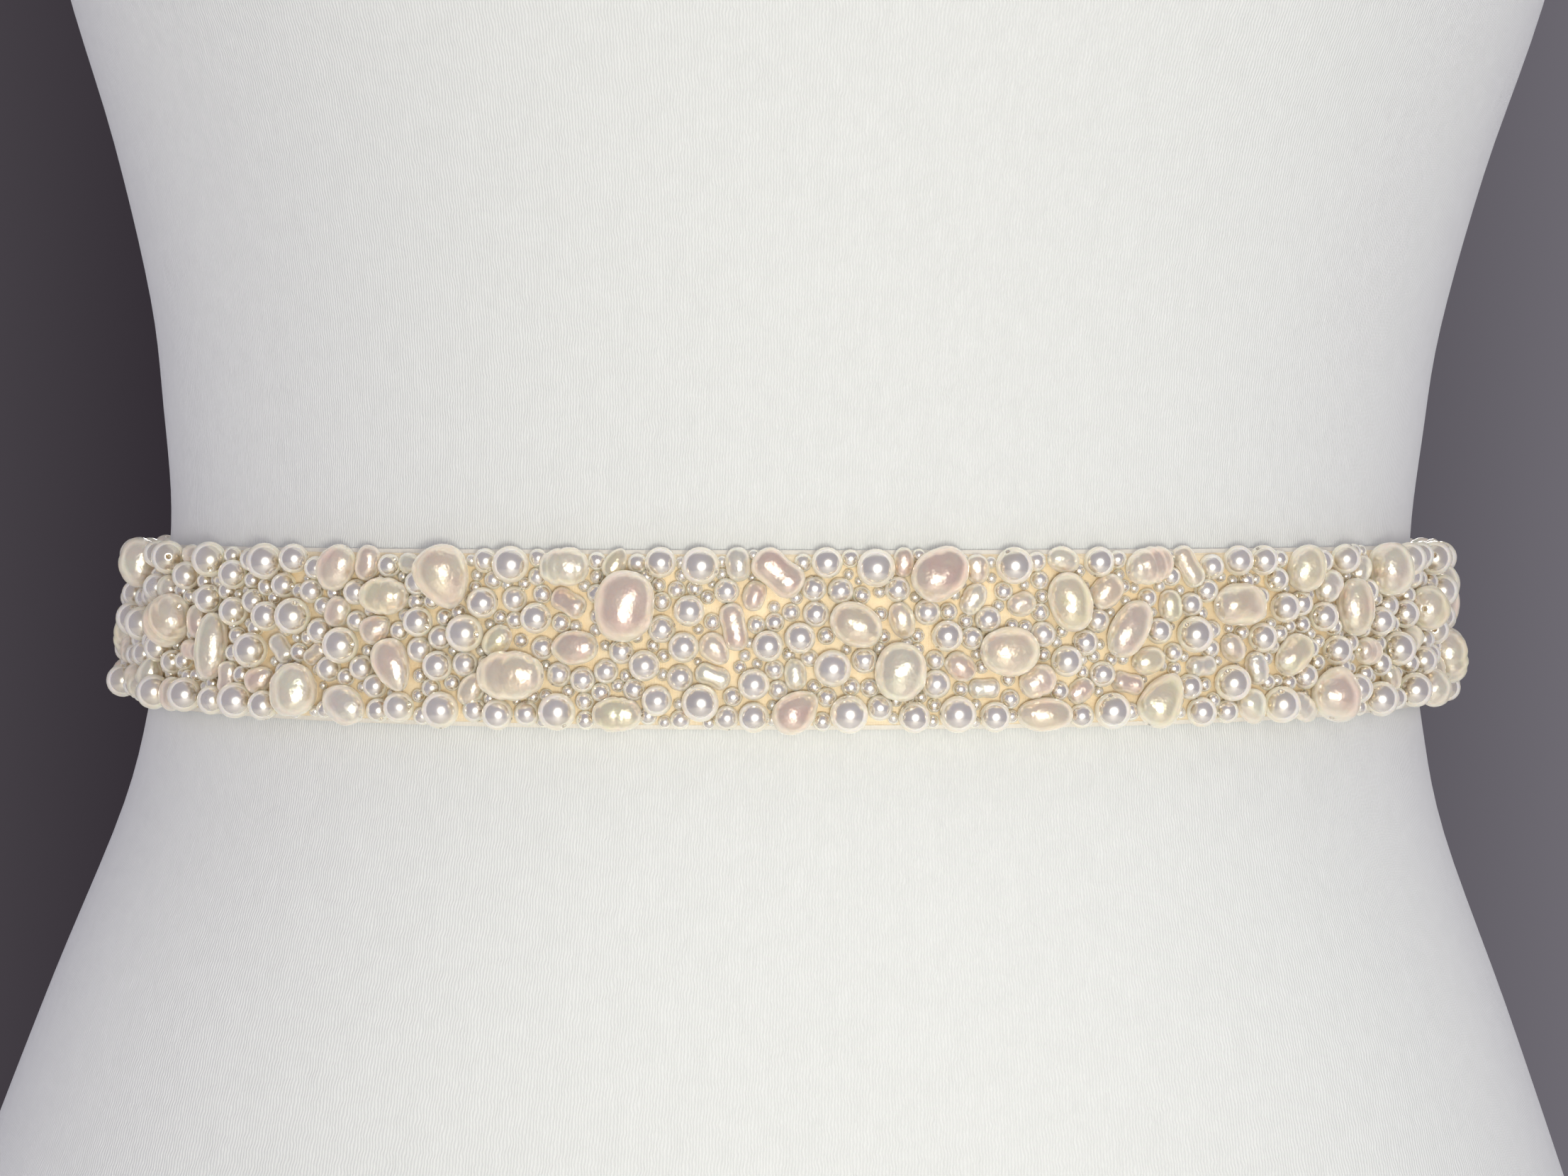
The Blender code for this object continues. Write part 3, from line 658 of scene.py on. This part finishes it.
# A row of small upright stitches holds the turned end, a little in from its fold.
shape = bmesh.new()
along, out = ribbon_lie(2 * ribbon_end - HEM_STITCH_IN)
for number in range(HEM_STITCHES):
    up = (number - (HEM_STITCHES - 1) / 2) * HEM_STITCH_GAP * MM
    here, run, rise, outward = band_ways(along, up, out + SATIN / 2)
    sew(shape, here, rise + run * 0.2, outward, 1.7 * MM, 0.3 * MM)
hem_stitches = add_piece("sash_hem_stitches", shape, thread)
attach(hem_stitches, "root")

# ---- the press studs
# Two sew-on press studs of nickelled brass between the ribbon's ends. The socket half is
# sewn to the lower end and the ball half to the upper one, each through four holes.

STUD_RADIUS, STUD_SPREAD = 4 * MM, 7 * MM
STUD_SIDES, STUD_HOLES = 36, 4
STUD_THREAD, THREAD_SPREAD = 0.24 * MM, 0.12
STUD_PROFILE = [
    (0, -0.8), (3.3, -0.8), (3.85, -0.72), (4, -0.52), (3.85, -0.34), (3.3, -0.24), (2.6, -0.2),
    (2.45, 0.1), (2.6, 0.22), (3.3, 0.26), (3.85, 0.36), (4, 0.54), (3.85, 0.72), (3.3, 0.8),
    (0, 0.8),
]

nickel, tree, shader = add_finish("nickelled brass", {"Metallic": 1, "Roughness": 0.28})
polish = paint(shader, 0.0015, (0.8, 0.79, 0.76), (0.66, 0.64, 0.6))
set_inputs(shader, {"Roughness": rescale(tree, polish, 0, 1, 0.36, 0.22)})

stud_out = BAND_CLEARANCE + RIBBON_WALL + TOUCH + STUD_THICKNESS / 2
for name, side in (("press_stud_upper", 1), ("press_stud_lower", -1)):
    here, run, rise, outward = band_ways(band.round / 2, side * STUD_SPREAD, stud_out)
    lie = Matrix.Translation(here) @ Matrix((run, rise, outward)).transposed().to_4x4()
    shape = bmesh.new()
    line = [shape.verts.new((r * MM, 0, z * MM)) for r, z in STUD_PROFILE]
    for pair in zip(line, line[1:]):
        shape.edges.new(pair)
    bmesh.ops.spin(
        shape, geom=shape.verts[:] + shape.edges[:], cent=(0, 0, 0), axis=(0, 0, 1),
        angle=2 * pi, steps=STUD_SIDES, use_merge=True,
    )
    bmesh.ops.remove_doubles(shape, verts=shape.verts[:], dist=1e-6)
    bmesh.ops.recalc_face_normals(shape, faces=shape.faces[:])
    bmesh.ops.transform(shape, matrix=lie, verts=shape.verts[:])
    stud = add_piece(name + "_sewn", shape, nickel)
    stud.data.set_sharp_from_angle(angle=radians(35))
    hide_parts(name)
    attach(stud, "root")
    shape = bmesh.new()
    for number in range(STUD_HOLES):
        angle = pi / 4 + number * pi / 2
        way = run * cos(angle) + rise * sin(angle)
        for spread in (-THREAD_SPREAD, THREAD_SPREAD):
            beside = outward.cross(way) * spread * MM
            rim = here + way * STUD_RADIUS * 0.94 + beside
            sew(shape, rim, outward, way, STUD_THICKNESS + 0.5 * MM, STUD_THREAD)
    stud_threads = add_piece(name + "_threads", shape, thread)
    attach(stud_threads, "root")

# ---- the ground cloth
# A straight strip of cream duchess satin, laid on the ribbon from side to side across the
# front. Its edges are turned and slip-stitched down, and it carries all the pearls.

GROUND_WIDTH = 27 * MM
PANEL_HALF = 230 * MM
GROUND_SHEET = 0.5 * MM
GROUND_STEPS, GROUND_ROWS = 460, 14
GROUND_FACE = BAND_CLEARANCE + RIBBON_WALL + TOUCH + GROUND_WALL
EDGE_ROLL, END_ROLL, ROLL_DROP = 1.2 * MM, 1.5 * MM, 0.35 * MM
PUCKER, PUCKERS = 0.12 * MM, 260
SLIP_STEP, SLIP_OUT, SLIP_IN = 4 * MM, 0.05 * MM, 0.75 * MM
SLIP_LENGTH, SLIP_THREAD, SLIP_LEAN = 1.3 * MM, 0.22 * MM, 0.7
END_STITCHES, END_STEP, END_LENGTH, END_THREAD = 8, 3.3, 1.6 * MM, 0.3 * MM

ground_satin, tree, shader = add_finish(
    "cream ground satin",
    {"Roughness": 0.5, "Sheen Weight": 0.2, "Sheen Roughness": 0.4, "Specular IOR Level": 0.4},
)
floats = add_threads(tree, 0.42 * MM, 0.42 * MM, 1, 0.0001)
paint(shader, 0.003, (1, 0.86, 0.62), (0.97, 0.785, 0.52))
add_relief(shader, floats["Height"], 0.00004, 0.5)


def ground_place(x, y):
    """The strip, its edges rolled under, puckered by its sewing."""
    along, up = x * 2 * PANEL_HALF, y * GROUND_WIDTH
    rolled = max(0.0, abs(up) - GROUND_WIDTH / 2 + EDGE_ROLL) / EDGE_ROLL
    ended = max(0.0, abs(along) - PANEL_HALF + END_ROLL) / END_ROLL
    drop = ROLL_DROP * max(rolled, ended) ** 2
    pucker = noise.noise(Vector((along * PUCKERS, up * PUCKERS, 8.3))) * PUCKER
    out = GROUND_FACE - GROUND_SHEET / 2 - 0.1 * MM - drop + pucker
    return (along, up), band_point(along, up, out)


shape = lay_strip(GROUND_STEPS, GROUND_ROWS, ground_place)
ground_cloth = add_piece("pearled_ground_cloth", shape, ground_satin)
add_wall(ground_cloth, GROUND_SHEET, 0)
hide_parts("pearled_ground")
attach(ground_cloth, "root")

shape = bmesh.new()
for side in (-1, 1):
    for step in range(int(2 * PANEL_HALF / SLIP_STEP) + 1):
        along, up = step * SLIP_STEP - PANEL_HALF, side * (GROUND_WIDTH / 2 + SLIP_OUT)
        here, run, rise, outward = band_ways(along, up, GROUND_FACE - SLIP_IN)
        sew(shape, here, run + outward * SLIP_LEAN, rise * side, SLIP_LENGTH, SLIP_THREAD)
    for number in range(END_STITCHES):
        along, up = side * (PANEL_HALF + SLIP_OUT), (number - (END_STITCHES - 1) / 2) * END_STEP
        here, run, rise, outward = band_ways(along, up * MM, GROUND_FACE - SLIP_IN)
        sew(shape, here, rise + outward * SLIP_LEAN, run * side, END_LENGTH, END_THREAD)
slip_stitches = add_piece("ground_slip_stitches", shape, thread)
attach(slip_stitches, "root")

# ---- where the pearls are sewn
# The embroiderer sets the large freshwater pearls first, fills the cloth up with
# ever smaller ones, each where most cloth still shows, and eases all of them into place. The
# small ones are picked to fit their gaps, and seed pearls dot what stays bare.

OVERHANG = 1.2 * MM
SMALL_OVERHANG = (-0.3 * MM, 0.9 * MM)
LEAST_LARGE = 4.8
# Along, up, long and wide in mm, the turn in degrees, the shape and the nacre.
FRESHWATER = [
    (-135, 10.5, 8.6, 8.1, 90, "potato", "ivory"), (-116, 1, 9.4, 8.9, 30, "ringed", "peach"),
    (-103, -3, 11.4, 6.1, 90, "oval", "ivory"), (-82, -9.5, 8.8, 8, 90, "potato", "ivory"),
    (-75, 11, 7.9, 6.4, 60, "oval", "blush"), (-72, -11.5, 8.2, 6.1, -25, "oval", "silver"),
    (-66, 7, 8.4, 6.1, 0, "ringed", "honey"), (-63, -4.5, 9.2, 6.1, -60, "drop", "blush"),
    (-55, 10, 10.4, 9.2, -70, "drop", "peach"), (-43, -5.5, 11.2, 8, 0, "ringed", "peach"),
    (-35, 11.5, 8, 6.2, 0, "ringed", "ivory"), (-33, -1.5, 7.8, 5.6, 5, "oval", "mauve"),
    (-26, -12, 7.9, 5.7, 0, "ringed", "honey"), (-25, 5, 11.4, 9.2, 80, "potato", "mauve"),
    (-8, 2, 7.7, 4, -80, "rice", "mauve"), (-1, 10.5, 9.1, 5.7, -40, "rice", "mauve"),
    (2, -12, 8.1, 6.2, 40, "drop", "mauve"), (11, 2.5, 8.6, 6.9, -30, "oval", "peach"),
    (18, -5, 9.2, 8, 80, "potato", "ivory"), (24, 10.5, 9.7, 7.9, 35, "potato", "mauve"),
    (36, -2.5, 9.7, 8, 0, "oval", "peach"), (41, -12, 9, 5.5, 0, "oval", "peach"),
    (45, 6, 9.7, 7, -75, "oval", "honey"), (55, 1.5, 10.3, 6.4, 55, "oval", "blush"),
    (59, 12, 8.4, 6.1, 15, "ringed", "blush"), (61, -10, 9.6, 6.8, 55, "drop", "honey"),
    (67, 11, 7.4, 3.8, -60, "rice", "peach"), (75, 5.5, 9.4, 7.1, 0, "potato", "peach"),
    (87, -3.5, 7.8, 5.7, 45, "potato", "honey"), (90, 11.5, 8.1, 6.8, 70, "oval", "honey"),
    (95, -10.5, 9.4, 8.8, 60, "drop", "blush"), (102, 4, 9.8, 6.9, 90, "oval", "peach"),
    (112, 10.5, 9, 8.3, 90, "potato", "ivory"), (127, 3, 8.2, 8, 0, "potato", "honey"),
    (149, 7, 7.6, 6.4, 90, "oval", "ivory"),
]
Fill = namedtuple("Fill", "kind across count start")
FILLS = [
    Fill("fresh", 8.4, 22, 128),
    Fill("round", 6, 54, 0),
    Fill("round", 5, 78, 0),
    Fill("fresh", 5.2, 76, 0),
    Fill("round", 4, 122, 0),
    Fill("round", 3, 175, 0),
    Fill("round", 2, 290, 0),
]
ROUND_SPREAD = (0.98, 1.02)
FRESH_SPREAD = (0.86, 1.2)
FRESH_SLIM = (0.7, 0.86)
RICE_SLIM = 0.62
SHAPES = ("oval", "rice", "ringed", "potato", "drop")
NACRES = ("ivory", "peach", "blush", "mauve", "honey", "silver")
DEPTH_SHARE = 0.9
SEED = 21
EDGE_SHARE, TRIES = 0.3, 60
SETTLING, NEIGHBOURHOOD = 160, 14

Pearl = namedtuple("Pearl", "along up long wide deep turn shape nacre across")


def reach_towards(long, wide, turn, angle):
    """A pearl's half width on the cloth in one direction."""
    return long * wide / np.hypot(wide * np.cos(angle - turn), long * np.sin(angle - turn))


def gaps(one, other):
    """Free space between pearls that rest on the cloth; less than 0 is a clash.

    Small ones tuck in under the swell of large ones.
    """
    run, lift = other[..., 0] - one[..., 0], other[..., 1] - one[..., 1]
    angle = np.arctan2(lift, run)
    reach = sum(reach_towards(p[..., 2], p[..., 3], p[..., 5], angle) for p in (one, other))
    tuck = (one[..., 4] - other[..., 4]) / (one[..., 4] + other[..., 4])
    return np.hypot(run, lift) - reach * np.sqrt(1 - tuck**2)


def room_for(long, wide, turn, over=OVERHANG):
    """How far from the panel's middle a pearl's centre may lie, along and up."""
    upright = np.hypot(long * np.sin(turn), wide * np.cos(turn))
    return PANEL_HALF / MM - long, (GROUND_WIDTH / 2 + over) / MM - upright


def settle(rows, loose, over=OVERHANG):
    """Eases crowded pearls apart, the loosest furthest, and keeps them all on the cloth."""
    room = np.stack(room_for(rows[:, 2], rows[:, 3], rows[:, 5], over), axis=1)
    one, other = np.triu_indices(len(rows), 1)
    near = np.abs(rows[one, 0] - rows[other, 0]) < NEIGHBOURHOOD
    one, other = one[near], other[near]
    share = (loose[one] / (loose[one] + loose[other]))[:, None]
    for _ in range(SETTLING):
        clash = np.clip(-gaps(rows[one], rows[other]), 0, None)[:, None]
        between = rows[other, :2] - rows[one, :2]
        push = 0.5 * clash * between / np.hypot(*between.T)[:, None]
        np.subtract.at(rows[:, :2], one, push * share)
        np.add.at(rows[:, :2], other, push * (1 - share))
        rows[:, :2] = np.clip(rows[:, :2], -room, room).round(3)


def sew_pearls():
    """Lays out all pearls: the front's by table, the rest each in the emptiest place tried."""
    chance = random.Random(SEED)
    pearls = []
    for along, up, long, wide, turn, shape, nacre in FRESHWATER:
        size = (long / 2, wide / 2, wide / 2 * DEPTH_SHARE, radians(turn))
        pearls.append(Pearl(along, up, *size, shape, nacre, long))
    for fill in FILLS:
        for _ in range(fill.count):
            long = fill.across / 2 * chance.uniform(*ROUND_SPREAD)
            wide, deep, turn, shape, nacre = long, long, 0.0, "round", "white"
            if fill.kind == "fresh":
                long *= chance.uniform(*FRESH_SPREAD)
                shape = chance.choice(SHAPES)
                wide = long * (RICE_SLIM if shape == "rice" else chance.uniform(*FRESH_SLIM))
                deep, turn = wide * DEPTH_SHARE, radians(chance.uniform(-90, 90))
                nacre = chance.choice(NACRES)
            end, edge = room_for(long, wide, turn)
            tried = []
            for _ in range(TRIES):
                along = chance.choice((-1, 1)) * chance.uniform(fill.start, end)
                at_edge = chance.random() < EDGE_SHARE
                up = edge * (chance.choice((-1, 1)) if at_edge else chance.uniform(-1, 1))
                tried.append((along, up, long, wide, deep, turn))
            rows = np.array([p[:6] for p in pearls])
            free = gaps(np.array(tried)[:, None], rows[None]).min(axis=1)
            pearls.append(Pearl(*tried[int(np.argmax(free))], shape, nacre, fill.across))
    rows = np.array([p[:6] for p in pearls])
    loose = 1 / (rows[:, 2] * rows[:, 3])
    settle(rows, loose)
    small = rows[:, 2] < LEAST_LARGE / 2
    over = [chance.uniform(*SMALL_OVERHANG) if few else OVERHANG for few in small]
    settle(rows, np.where(small, loose, 1e-9), np.array(over))
    return [p._replace(along=float(r[0]), up=float(r[1])) for p, r in zip(pearls, rows)]


ROUND_SIZES = (1.4, 1.8, 2, 2.4, 3, 4, 5, 6)
MOST_SWELL, SQUEEZE = 0.45, 0.12


def swell(pearls):
    """Fits the small pearls: each as wide as the room between its neighbours lets it."""
    rows = np.array([p[:6] for p in pearls])
    fitted = []
    for number, (pearl, row) in enumerate(zip(pearls, rows)):
        if row[2] < LEAST_LARGE / 2:
            free = np.delete(gaps(row, rows), number).min() + SQUEEZE
            most = min(MOST_SWELL, LEAST_LARGE / 2 / row[2] - 1)
            row[2:5] *= 1 + min(max(free / row[2], 0.0), most)
            pearl = pearl._replace(long=float(row[2]), wide=float(row[3]), deep=float(row[4]))
        if pearl.shape == "round":
            pearl = pearl._replace(across=min(ROUND_SIZES, key=lambda s: abs(s - 2 * pearl.long)))
        fitted.append(pearl)
    return fitted


SEED_COUNTS = {2.4: 140, 1.8: 110, 1.4: 50}
SEED_SPOTS, SEED_CLASH = 24000, -0.2


def add_seeds(pearls):
    """Dots the widest bits of bare cloth with seed pearls, down to 1.4 mm."""
    chance = np.random.default_rng(SEED)
    for across, count in SEED_COUNTS.items():
        half = across / 2
        end, edge = room_for(half, half, 0.0, 0.0)
        spots = np.full((SEED_SPOTS, 6), half)
        spots[:, 0] = chance.uniform(-end, end, SEED_SPOTS)
        spots[:, 1] = chance.uniform(-edge, edge, SEED_SPOTS)
        spots[:, 5] = 0
        free = np.full(SEED_SPOTS, 99.0)
        for pearl in pearls:
            near = np.abs(spots[:, 0] - pearl.along) < NEIGHBOURHOOD
            free[near] = np.minimum(free[near], gaps(spots[near], np.array(pearl[:6])))
        for _ in range(count):
            best = int(np.argmax(free))
            if free[best] < SEED_CLASH:
                break
            free = np.minimum(free, gaps(spots, spots[best]))
            pearls.append(Pearl(*(float(v) for v in spots[best]), "round", "white", across))
    return pearls


pearls = add_seeds(swell(sew_pearls()))

# ---- the round glass pearls
# Glass beads dipped in pearl essence, from seeds of 1.4 mm up to 6 mm: a cool white body
# under a clear hard skin. The larger ones show the drilled hole that the thread runs through.

Bead = namedtuple("Bead", "across sides rings hole")
BEADS = [
    Bead(6, 24, 14, 0.13),
    Bead(5, 20, 12, 0.15),
    Bead(4, 16, 10, 0.18),
    Bead(3, 12, 8, 0), Bead(2.4, 10, 7, 0), Bead(2, 10, 7, 0), Bead(1.8, 8, 6, 0),
    Bead(1.4, 8, 6, 0),
]
SMALL_SINK = 0.25
HOLE_RIM, HOLE_DEPTH = 0.22, 0.35
BEAD_UNEVENNESS = 0.012
# A drilled hole's inside is painted dark brown: painted shade in the hole.
HOLE_SHADE = (0.62, 0.5, 0.34)
# Towards its foot a pearl is painted cream, and every underside and the small pearls' feet
# palest: painted reflection and bounce light from the cream cloth, which lightens the gaps
# between pearls.
PAINTED_FOOT_LIGHT = Vector((0.89, 0.83, 0.76))
PAINTED_UNDER_LIGHT = Vector((1, 0.94, 0.86))
SMALL_FOOT = 1.8
FOOT_START, UNDER_START, TINT_FADE = 0.74, 0.1, 0.4
LEAST_MIRROR, SEED_MIRROR, FOOT_SHARE = 1.05, 0.7, 0.85
NACRE_TINTS = {
    "white": (0.93, 0.89, 0.93), "ivory": (0.94, 0.9, 0.78), "peach": (0.94, 0.8, 0.65),
    "blush": (0.92, 0.75, 0.67), "mauve": (0.86, 0.66, 0.6), "honey": (0.93, 0.85, 0.63),
    "silver": (0.87, 0.85, 0.82),
}
chance = random.Random(5)


def drilled_ball(sides, rings, hole):
    """A ball of radius 1 with a drilled hole at each end of its Z axis, as a mesh to copy."""
    ball = bmesh.new()
    bmesh.ops.create_uvsphere(ball, u_segments=sides, v_segments=rings, radius=1)
    if hole:
        poles = [v for v in ball.verts if abs(v.co.z) > 0.9999]
        bmesh.ops.bevel(
            ball, geom=poles, offset=hole, segments=1, profile=0.5, affect="VERTICES", material=-1
        )
        caps = [f for f in ball.faces if len(f.verts) == sides]
        bmesh.ops.inset_individual(ball, faces=caps, thickness=hole * HOLE_RIM, depth=0)
        for cap in caps:
            inward = -copysign(HOLE_DEPTH, cap.calc_center_median().z)
            bmesh.ops.translate(ball, verts=cap.verts, vec=(0, 0, inward))
    return make_mesh("ball", ball)


def pearl_lie(pearl, tilt):
    """Lays a pearl's Z axis, its drilled hole, along the cloth, and puts it in its place.

    Its thread pulls a small pearl a little into the cloth.
    """
    sunk = SMALL_SINK if pearl.long < LEAST_LARGE / 2 else 0
    out = GROUND_FACE + pearl.deep * (1 - sunk) * MM
    here, run, rise, outward = band_ways(pearl.along * MM, pearl.up * MM, out)
    long = run * cos(pearl.turn) + rise * sin(pearl.turn)
    long = (long * cos(tilt) + outward * sin(tilt)).normalized()
    wide = outward.cross(long).normalized()
    deep = long.cross(wide)
    return here, wide, deep, long


def string_pearls(name, group, size, bend, finish):
    """One piece of many pearls: a copy of a ball for each, bent, sized, laid and tinted.

    Its own tint is on its crown. Towards its foot it is painted cream, palest underneath:
    painted reflection and bounce light from the cream cloth.
    """
    ball = drilled_ball(size.sides, size.rings, size.hole)
    shape = bmesh.new()
    tint_light_and_mirror = shape.verts.layers.float_color.new("nacre")
    for pearl, (here, wide, deep, long) in group:
        copied = add_copy(shape, ball)
        tint = Vector(NACRE_TINTS[pearl.nacre]) * chance.uniform(0.96, 1.03)
        mirror = chance.uniform(0.9, 1.0) * (SEED_MIRROR if pearl.long < LEAST_MIRROR else 1)
        foot = PAINTED_UNDER_LIGHT if pearl.long < SMALL_FOOT else PAINTED_FOOT_LIGHT
        seed = Vector([chance.uniform(0, 50) for _ in range(3)])
        for vert in copied:
            inside = vert.co.length < 0.9
            foot_light_share = min(max((FOOT_START - vert.co.y) / TINT_FADE, 0.0), 1.0) * FOOT_SHARE
            under_light_share = min(max((UNDER_START - vert.co.y) / TINT_FADE, 0.0), 1.0)
            skin = tint.lerp(foot, foot_light_share).lerp(PAINTED_UNDER_LIGHT, under_light_share)
            # Inside the hole goes painted shade; the rest gets the pearl's own tint with its
            # painted cream foot light, and its mirror share.
            vert[tint_light_and_mirror] = (*HOLE_SHADE, 0) if inside else (*skin, mirror)
            x, y, z = bend(vert.co, pearl, seed)
            bent = wide * (x * pearl.wide) + deep * (y * pearl.deep) + long * (z * pearl.long)
            vert.co = here + bent * MM
    piece = add_piece(name, shape, finish)
    bpy.data.meshes.remove(ball)
    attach(piece, "root")
    pearl_pieces.append(piece)
    if size.hole:
        drilled.extend(group)


def round_bend(point, pearl, seed):
    """A glass bead is round, but for a slight unevenness of its skin."""
    return point * (1 + BEAD_UNEVENNESS * noise.noise(point * 1.7 + seed))


PEARL_SKIN = {
    "Roughness": 0.26, "Coat Weight": 1, "Coat IOR": 1.7, "Sheen Weight": 0.55,
    "Sheen Roughness": 0.4, "Subsurface Weight": 0.9, "Subsurface Scale": 3.5 * MM,
}


def add_lustre(shader, share, start, full, mirror):
    """A pearl's lustre: a mirror where it is seen straight on, and milky where it is slanted.

    share is how much of this mirror each pearl has.
    """
    tree = shader.id_data
    slant = add_node(tree, "LayerWeight", {"Blend": 0.5}).outputs["Facing"]
    skin = rescale(tree, slant, start, full, mirror, 0, interpolation_type="SMOOTHSTEP")
    set_inputs(shader, {"Metallic": reckon(tree, "MULTIPLY", skin, share)})


glass = {
    "Coat Roughness": 0.04, "Coat Tint": (1, 0.98, 0.88, 1),
    "Sheen Tint": (1, 0.93, 0.76, 1), "Subsurface Radius": (1, 0.85, 0.65),
}
glass_pearl, tree, shader = add_finish("glass pearl", {**PEARL_SKIN, **glass})
# The nacre attribute holds each pearl's own tint with its painted cream foot light, and its
# mirror share.
nacre_light_mark = add_node(tree, "Attribute", attribute_name="nacre").outputs
nacre_and_foot_light = nacre_light_mark["Color"]
deeper = reckon(tree, "MULTIPLY", nacre_and_foot_light, (0.95, 0.94, 0.95), kind="VectorMath")
paint(shader, 1.6 * MM, nacre_and_foot_light, deeper)
add_lustre(shader, nacre_light_mark["Alpha"], 0.29, 0.4, 0.94)

pearl_pieces, drilled = [], []
for size in BEADS:
    group = []
    for pearl in pearls:
        if pearl.shape == "round" and pearl.across == size.across:
            turned = pearl._replace(turn=chance.uniform(0, pi))
            group.append((turned, pearl_lie(turned, chance.uniform(-0.5, 0.5))))
    name = "glass_pearls_%g_mm" % size.across
    string_pearls(name, group, size, round_bend, glass_pearl)

# ---- the freshwater pearls
# Real pearls of 4 to 11 mm, no two alike: ovals, grains of rice, drops, potatoes and ringed
# ones with grooves round them. Their nacre goes from ivory to peach, mauve and honey.

Batch = namedtuple("Batch", "name least most sides rings hole")
BATCHES = [
    Batch("freshwater_pearls_large", 6.6, 99, 28, 26, 0.09),
    Batch("freshwater_pearls_small", 0, 6.6, 20, 18, 0.12),
]
LUMPS = dict(zip(SHAPES, (0.07, 0.06, 0.06, 0.12, 0.08)))
BLUNT = dict(zip(SHAPES, (2.1, 3.0, 2.3, 2.3, 2.0)))
GROOVES, GROOVE_DEPTH, GROOVE_WIDTH = 3, 0.075, 0.09
DROP_TAPER, MOST_GIRTH = 0.24, 1.35


def fresh_bend(point, pearl, seed):
    """Where a point of the ball lies on a freshwater pearl of this shape."""
    place = max(-1.0, min(1, point.z))
    blunt = BLUNT[pearl.shape]
    girth = (1 - abs(place) ** blunt + 1e-4) ** (1 / blunt)
    girth /= sqrt(1 - place * place + 1e-4)
    girth = min(girth, MOST_GIRTH)
    if pearl.shape == "drop":
        girth *= 1 - DROP_TAPER * place
    if pearl.shape == "ringed":
        for number in range(GROOVES):
            groove = -0.62 + 0.58 * number + 0.12 * sin(seed.x + number * 2.1)
            girth *= 1 - GROOVE_DEPTH * exp(-(((place - groove) / GROOVE_WIDTH) ** 2))
    if pearl.shape == "rice":
        girth *= 1 - 0.06 * cos(place * 5)
    swell = 1 + LUMPS[pearl.shape] * noise.noise(point * 1.25 + seed)
    swell += 0.022 * noise.noise(point * 3.4 + seed * 1.7)
    return Vector((point.x * girth * swell, point.y * girth * swell, point.z * (2 + swell) / 3))


grown = {
    "Coat Roughness": 0.03, "Coat Tint": (1, 0.98, 0.9, 1),
    "Sheen Tint": (1, 0.93, 0.8, 1), "Subsurface Radius": (1, 0.82, 0.62),
}
nacre, tree, shader = add_finish("freshwater nacre", {**PEARL_SKIN, **grown})
# The nacre attribute holds each pearl's own tint with its painted cream foot light, and its
# mirror share.
nacre_light_mark = add_node(tree, "Attribute", attribute_name="nacre").outputs
nacre_and_foot_light, place = nacre_light_mark["Color"], own_place(tree)
leaning = add_node(tree, "Mapping", {"Vector": place, "Location": (0.31, 0.17, 0.05)})
# Green and rose patches: the nacre's own two-tone colour, with its iridescent overtones painted
# in as fixed colour, a painted sheen.
greener = mix_colours(tree, 0.5, nacre_and_foot_light, (0.86, 0.9, 0.76, 1))
orient = add_mottling(tree, place, 0.0042, nacre_and_foot_light, greener)["Color"]
rosier = mix_colours(tree, 0.4, orient, (0.89, 0.66, 0.67, 1))
paint(shader, 0.0031, orient, rosier, leaning.outputs[0])
add_lustre(shader, nacre_light_mark["Alpha"], 0.2, 0.48, 0.75)
skin = add_mottling(tree, place, 0.0034, (1, 1, 1), (0, 0, 0))["Mask"]
add_relief(shader, skin, 0.00024, 0.6)

for size in BATCHES:
    group = []
    for pearl in pearls:
        if pearl.shape != "round" and size.least <= 2 * pearl.long < size.most:
            group.append((pearl, pearl_lie(pearl, chance.uniform(-0.12, 0.12))))
    string_pearls(size.name, group, size, fresh_bend, nacre)

# ---- the pearls' threads
# Doubled silk comes up through the cloth beside each pearl, runs through its hole and goes
# down again on the other side, so a short bend of it shows at both ends of the hole.

THREAD = 0.22 * MM
THREAD_SIDES, THREAD_BENDS = 5, 3
BEND_RADIUS, BEND_TURN, BEND_IN = 0.7 * MM, radians(-105), 0.45

made = bmesh.new()
bmesh.ops.create_circle(made, cap_ends=False, segments=THREAD_SIDES, radius=THREAD / 2)
bmesh.ops.spin(
    made, geom=made.verts[:] + made.edges[:], cent=(0, -BEND_RADIUS, 0), axis=(1, 0, 0),
    angle=BEND_TURN, steps=THREAD_BENDS,
)
bmesh.ops.recalc_face_normals(made, faces=made.faces[:])
thread_bend = make_mesh("thread_bend", made)

shape = bmesh.new()
for pearl, (here, wide, deep, long) in drilled:
    outward = band_ways(pearl.along * MM, pearl.up * MM, 0)[3]
    for end in (-1, 1):
        way = long * end
        across = outward.cross(way).normalized()
        lie = Matrix((across, way.cross(across), way)).transposed().to_4x4()
        lie = Matrix.Translation(here + way * (pearl.long - BEND_IN) * MM) @ lie
        for vert in add_copy(shape, thread_bend):
            vert.co = lie @ vert.co
pearl_threads = add_piece("pearl_threads", shape, thread)
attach(pearl_threads, "root")
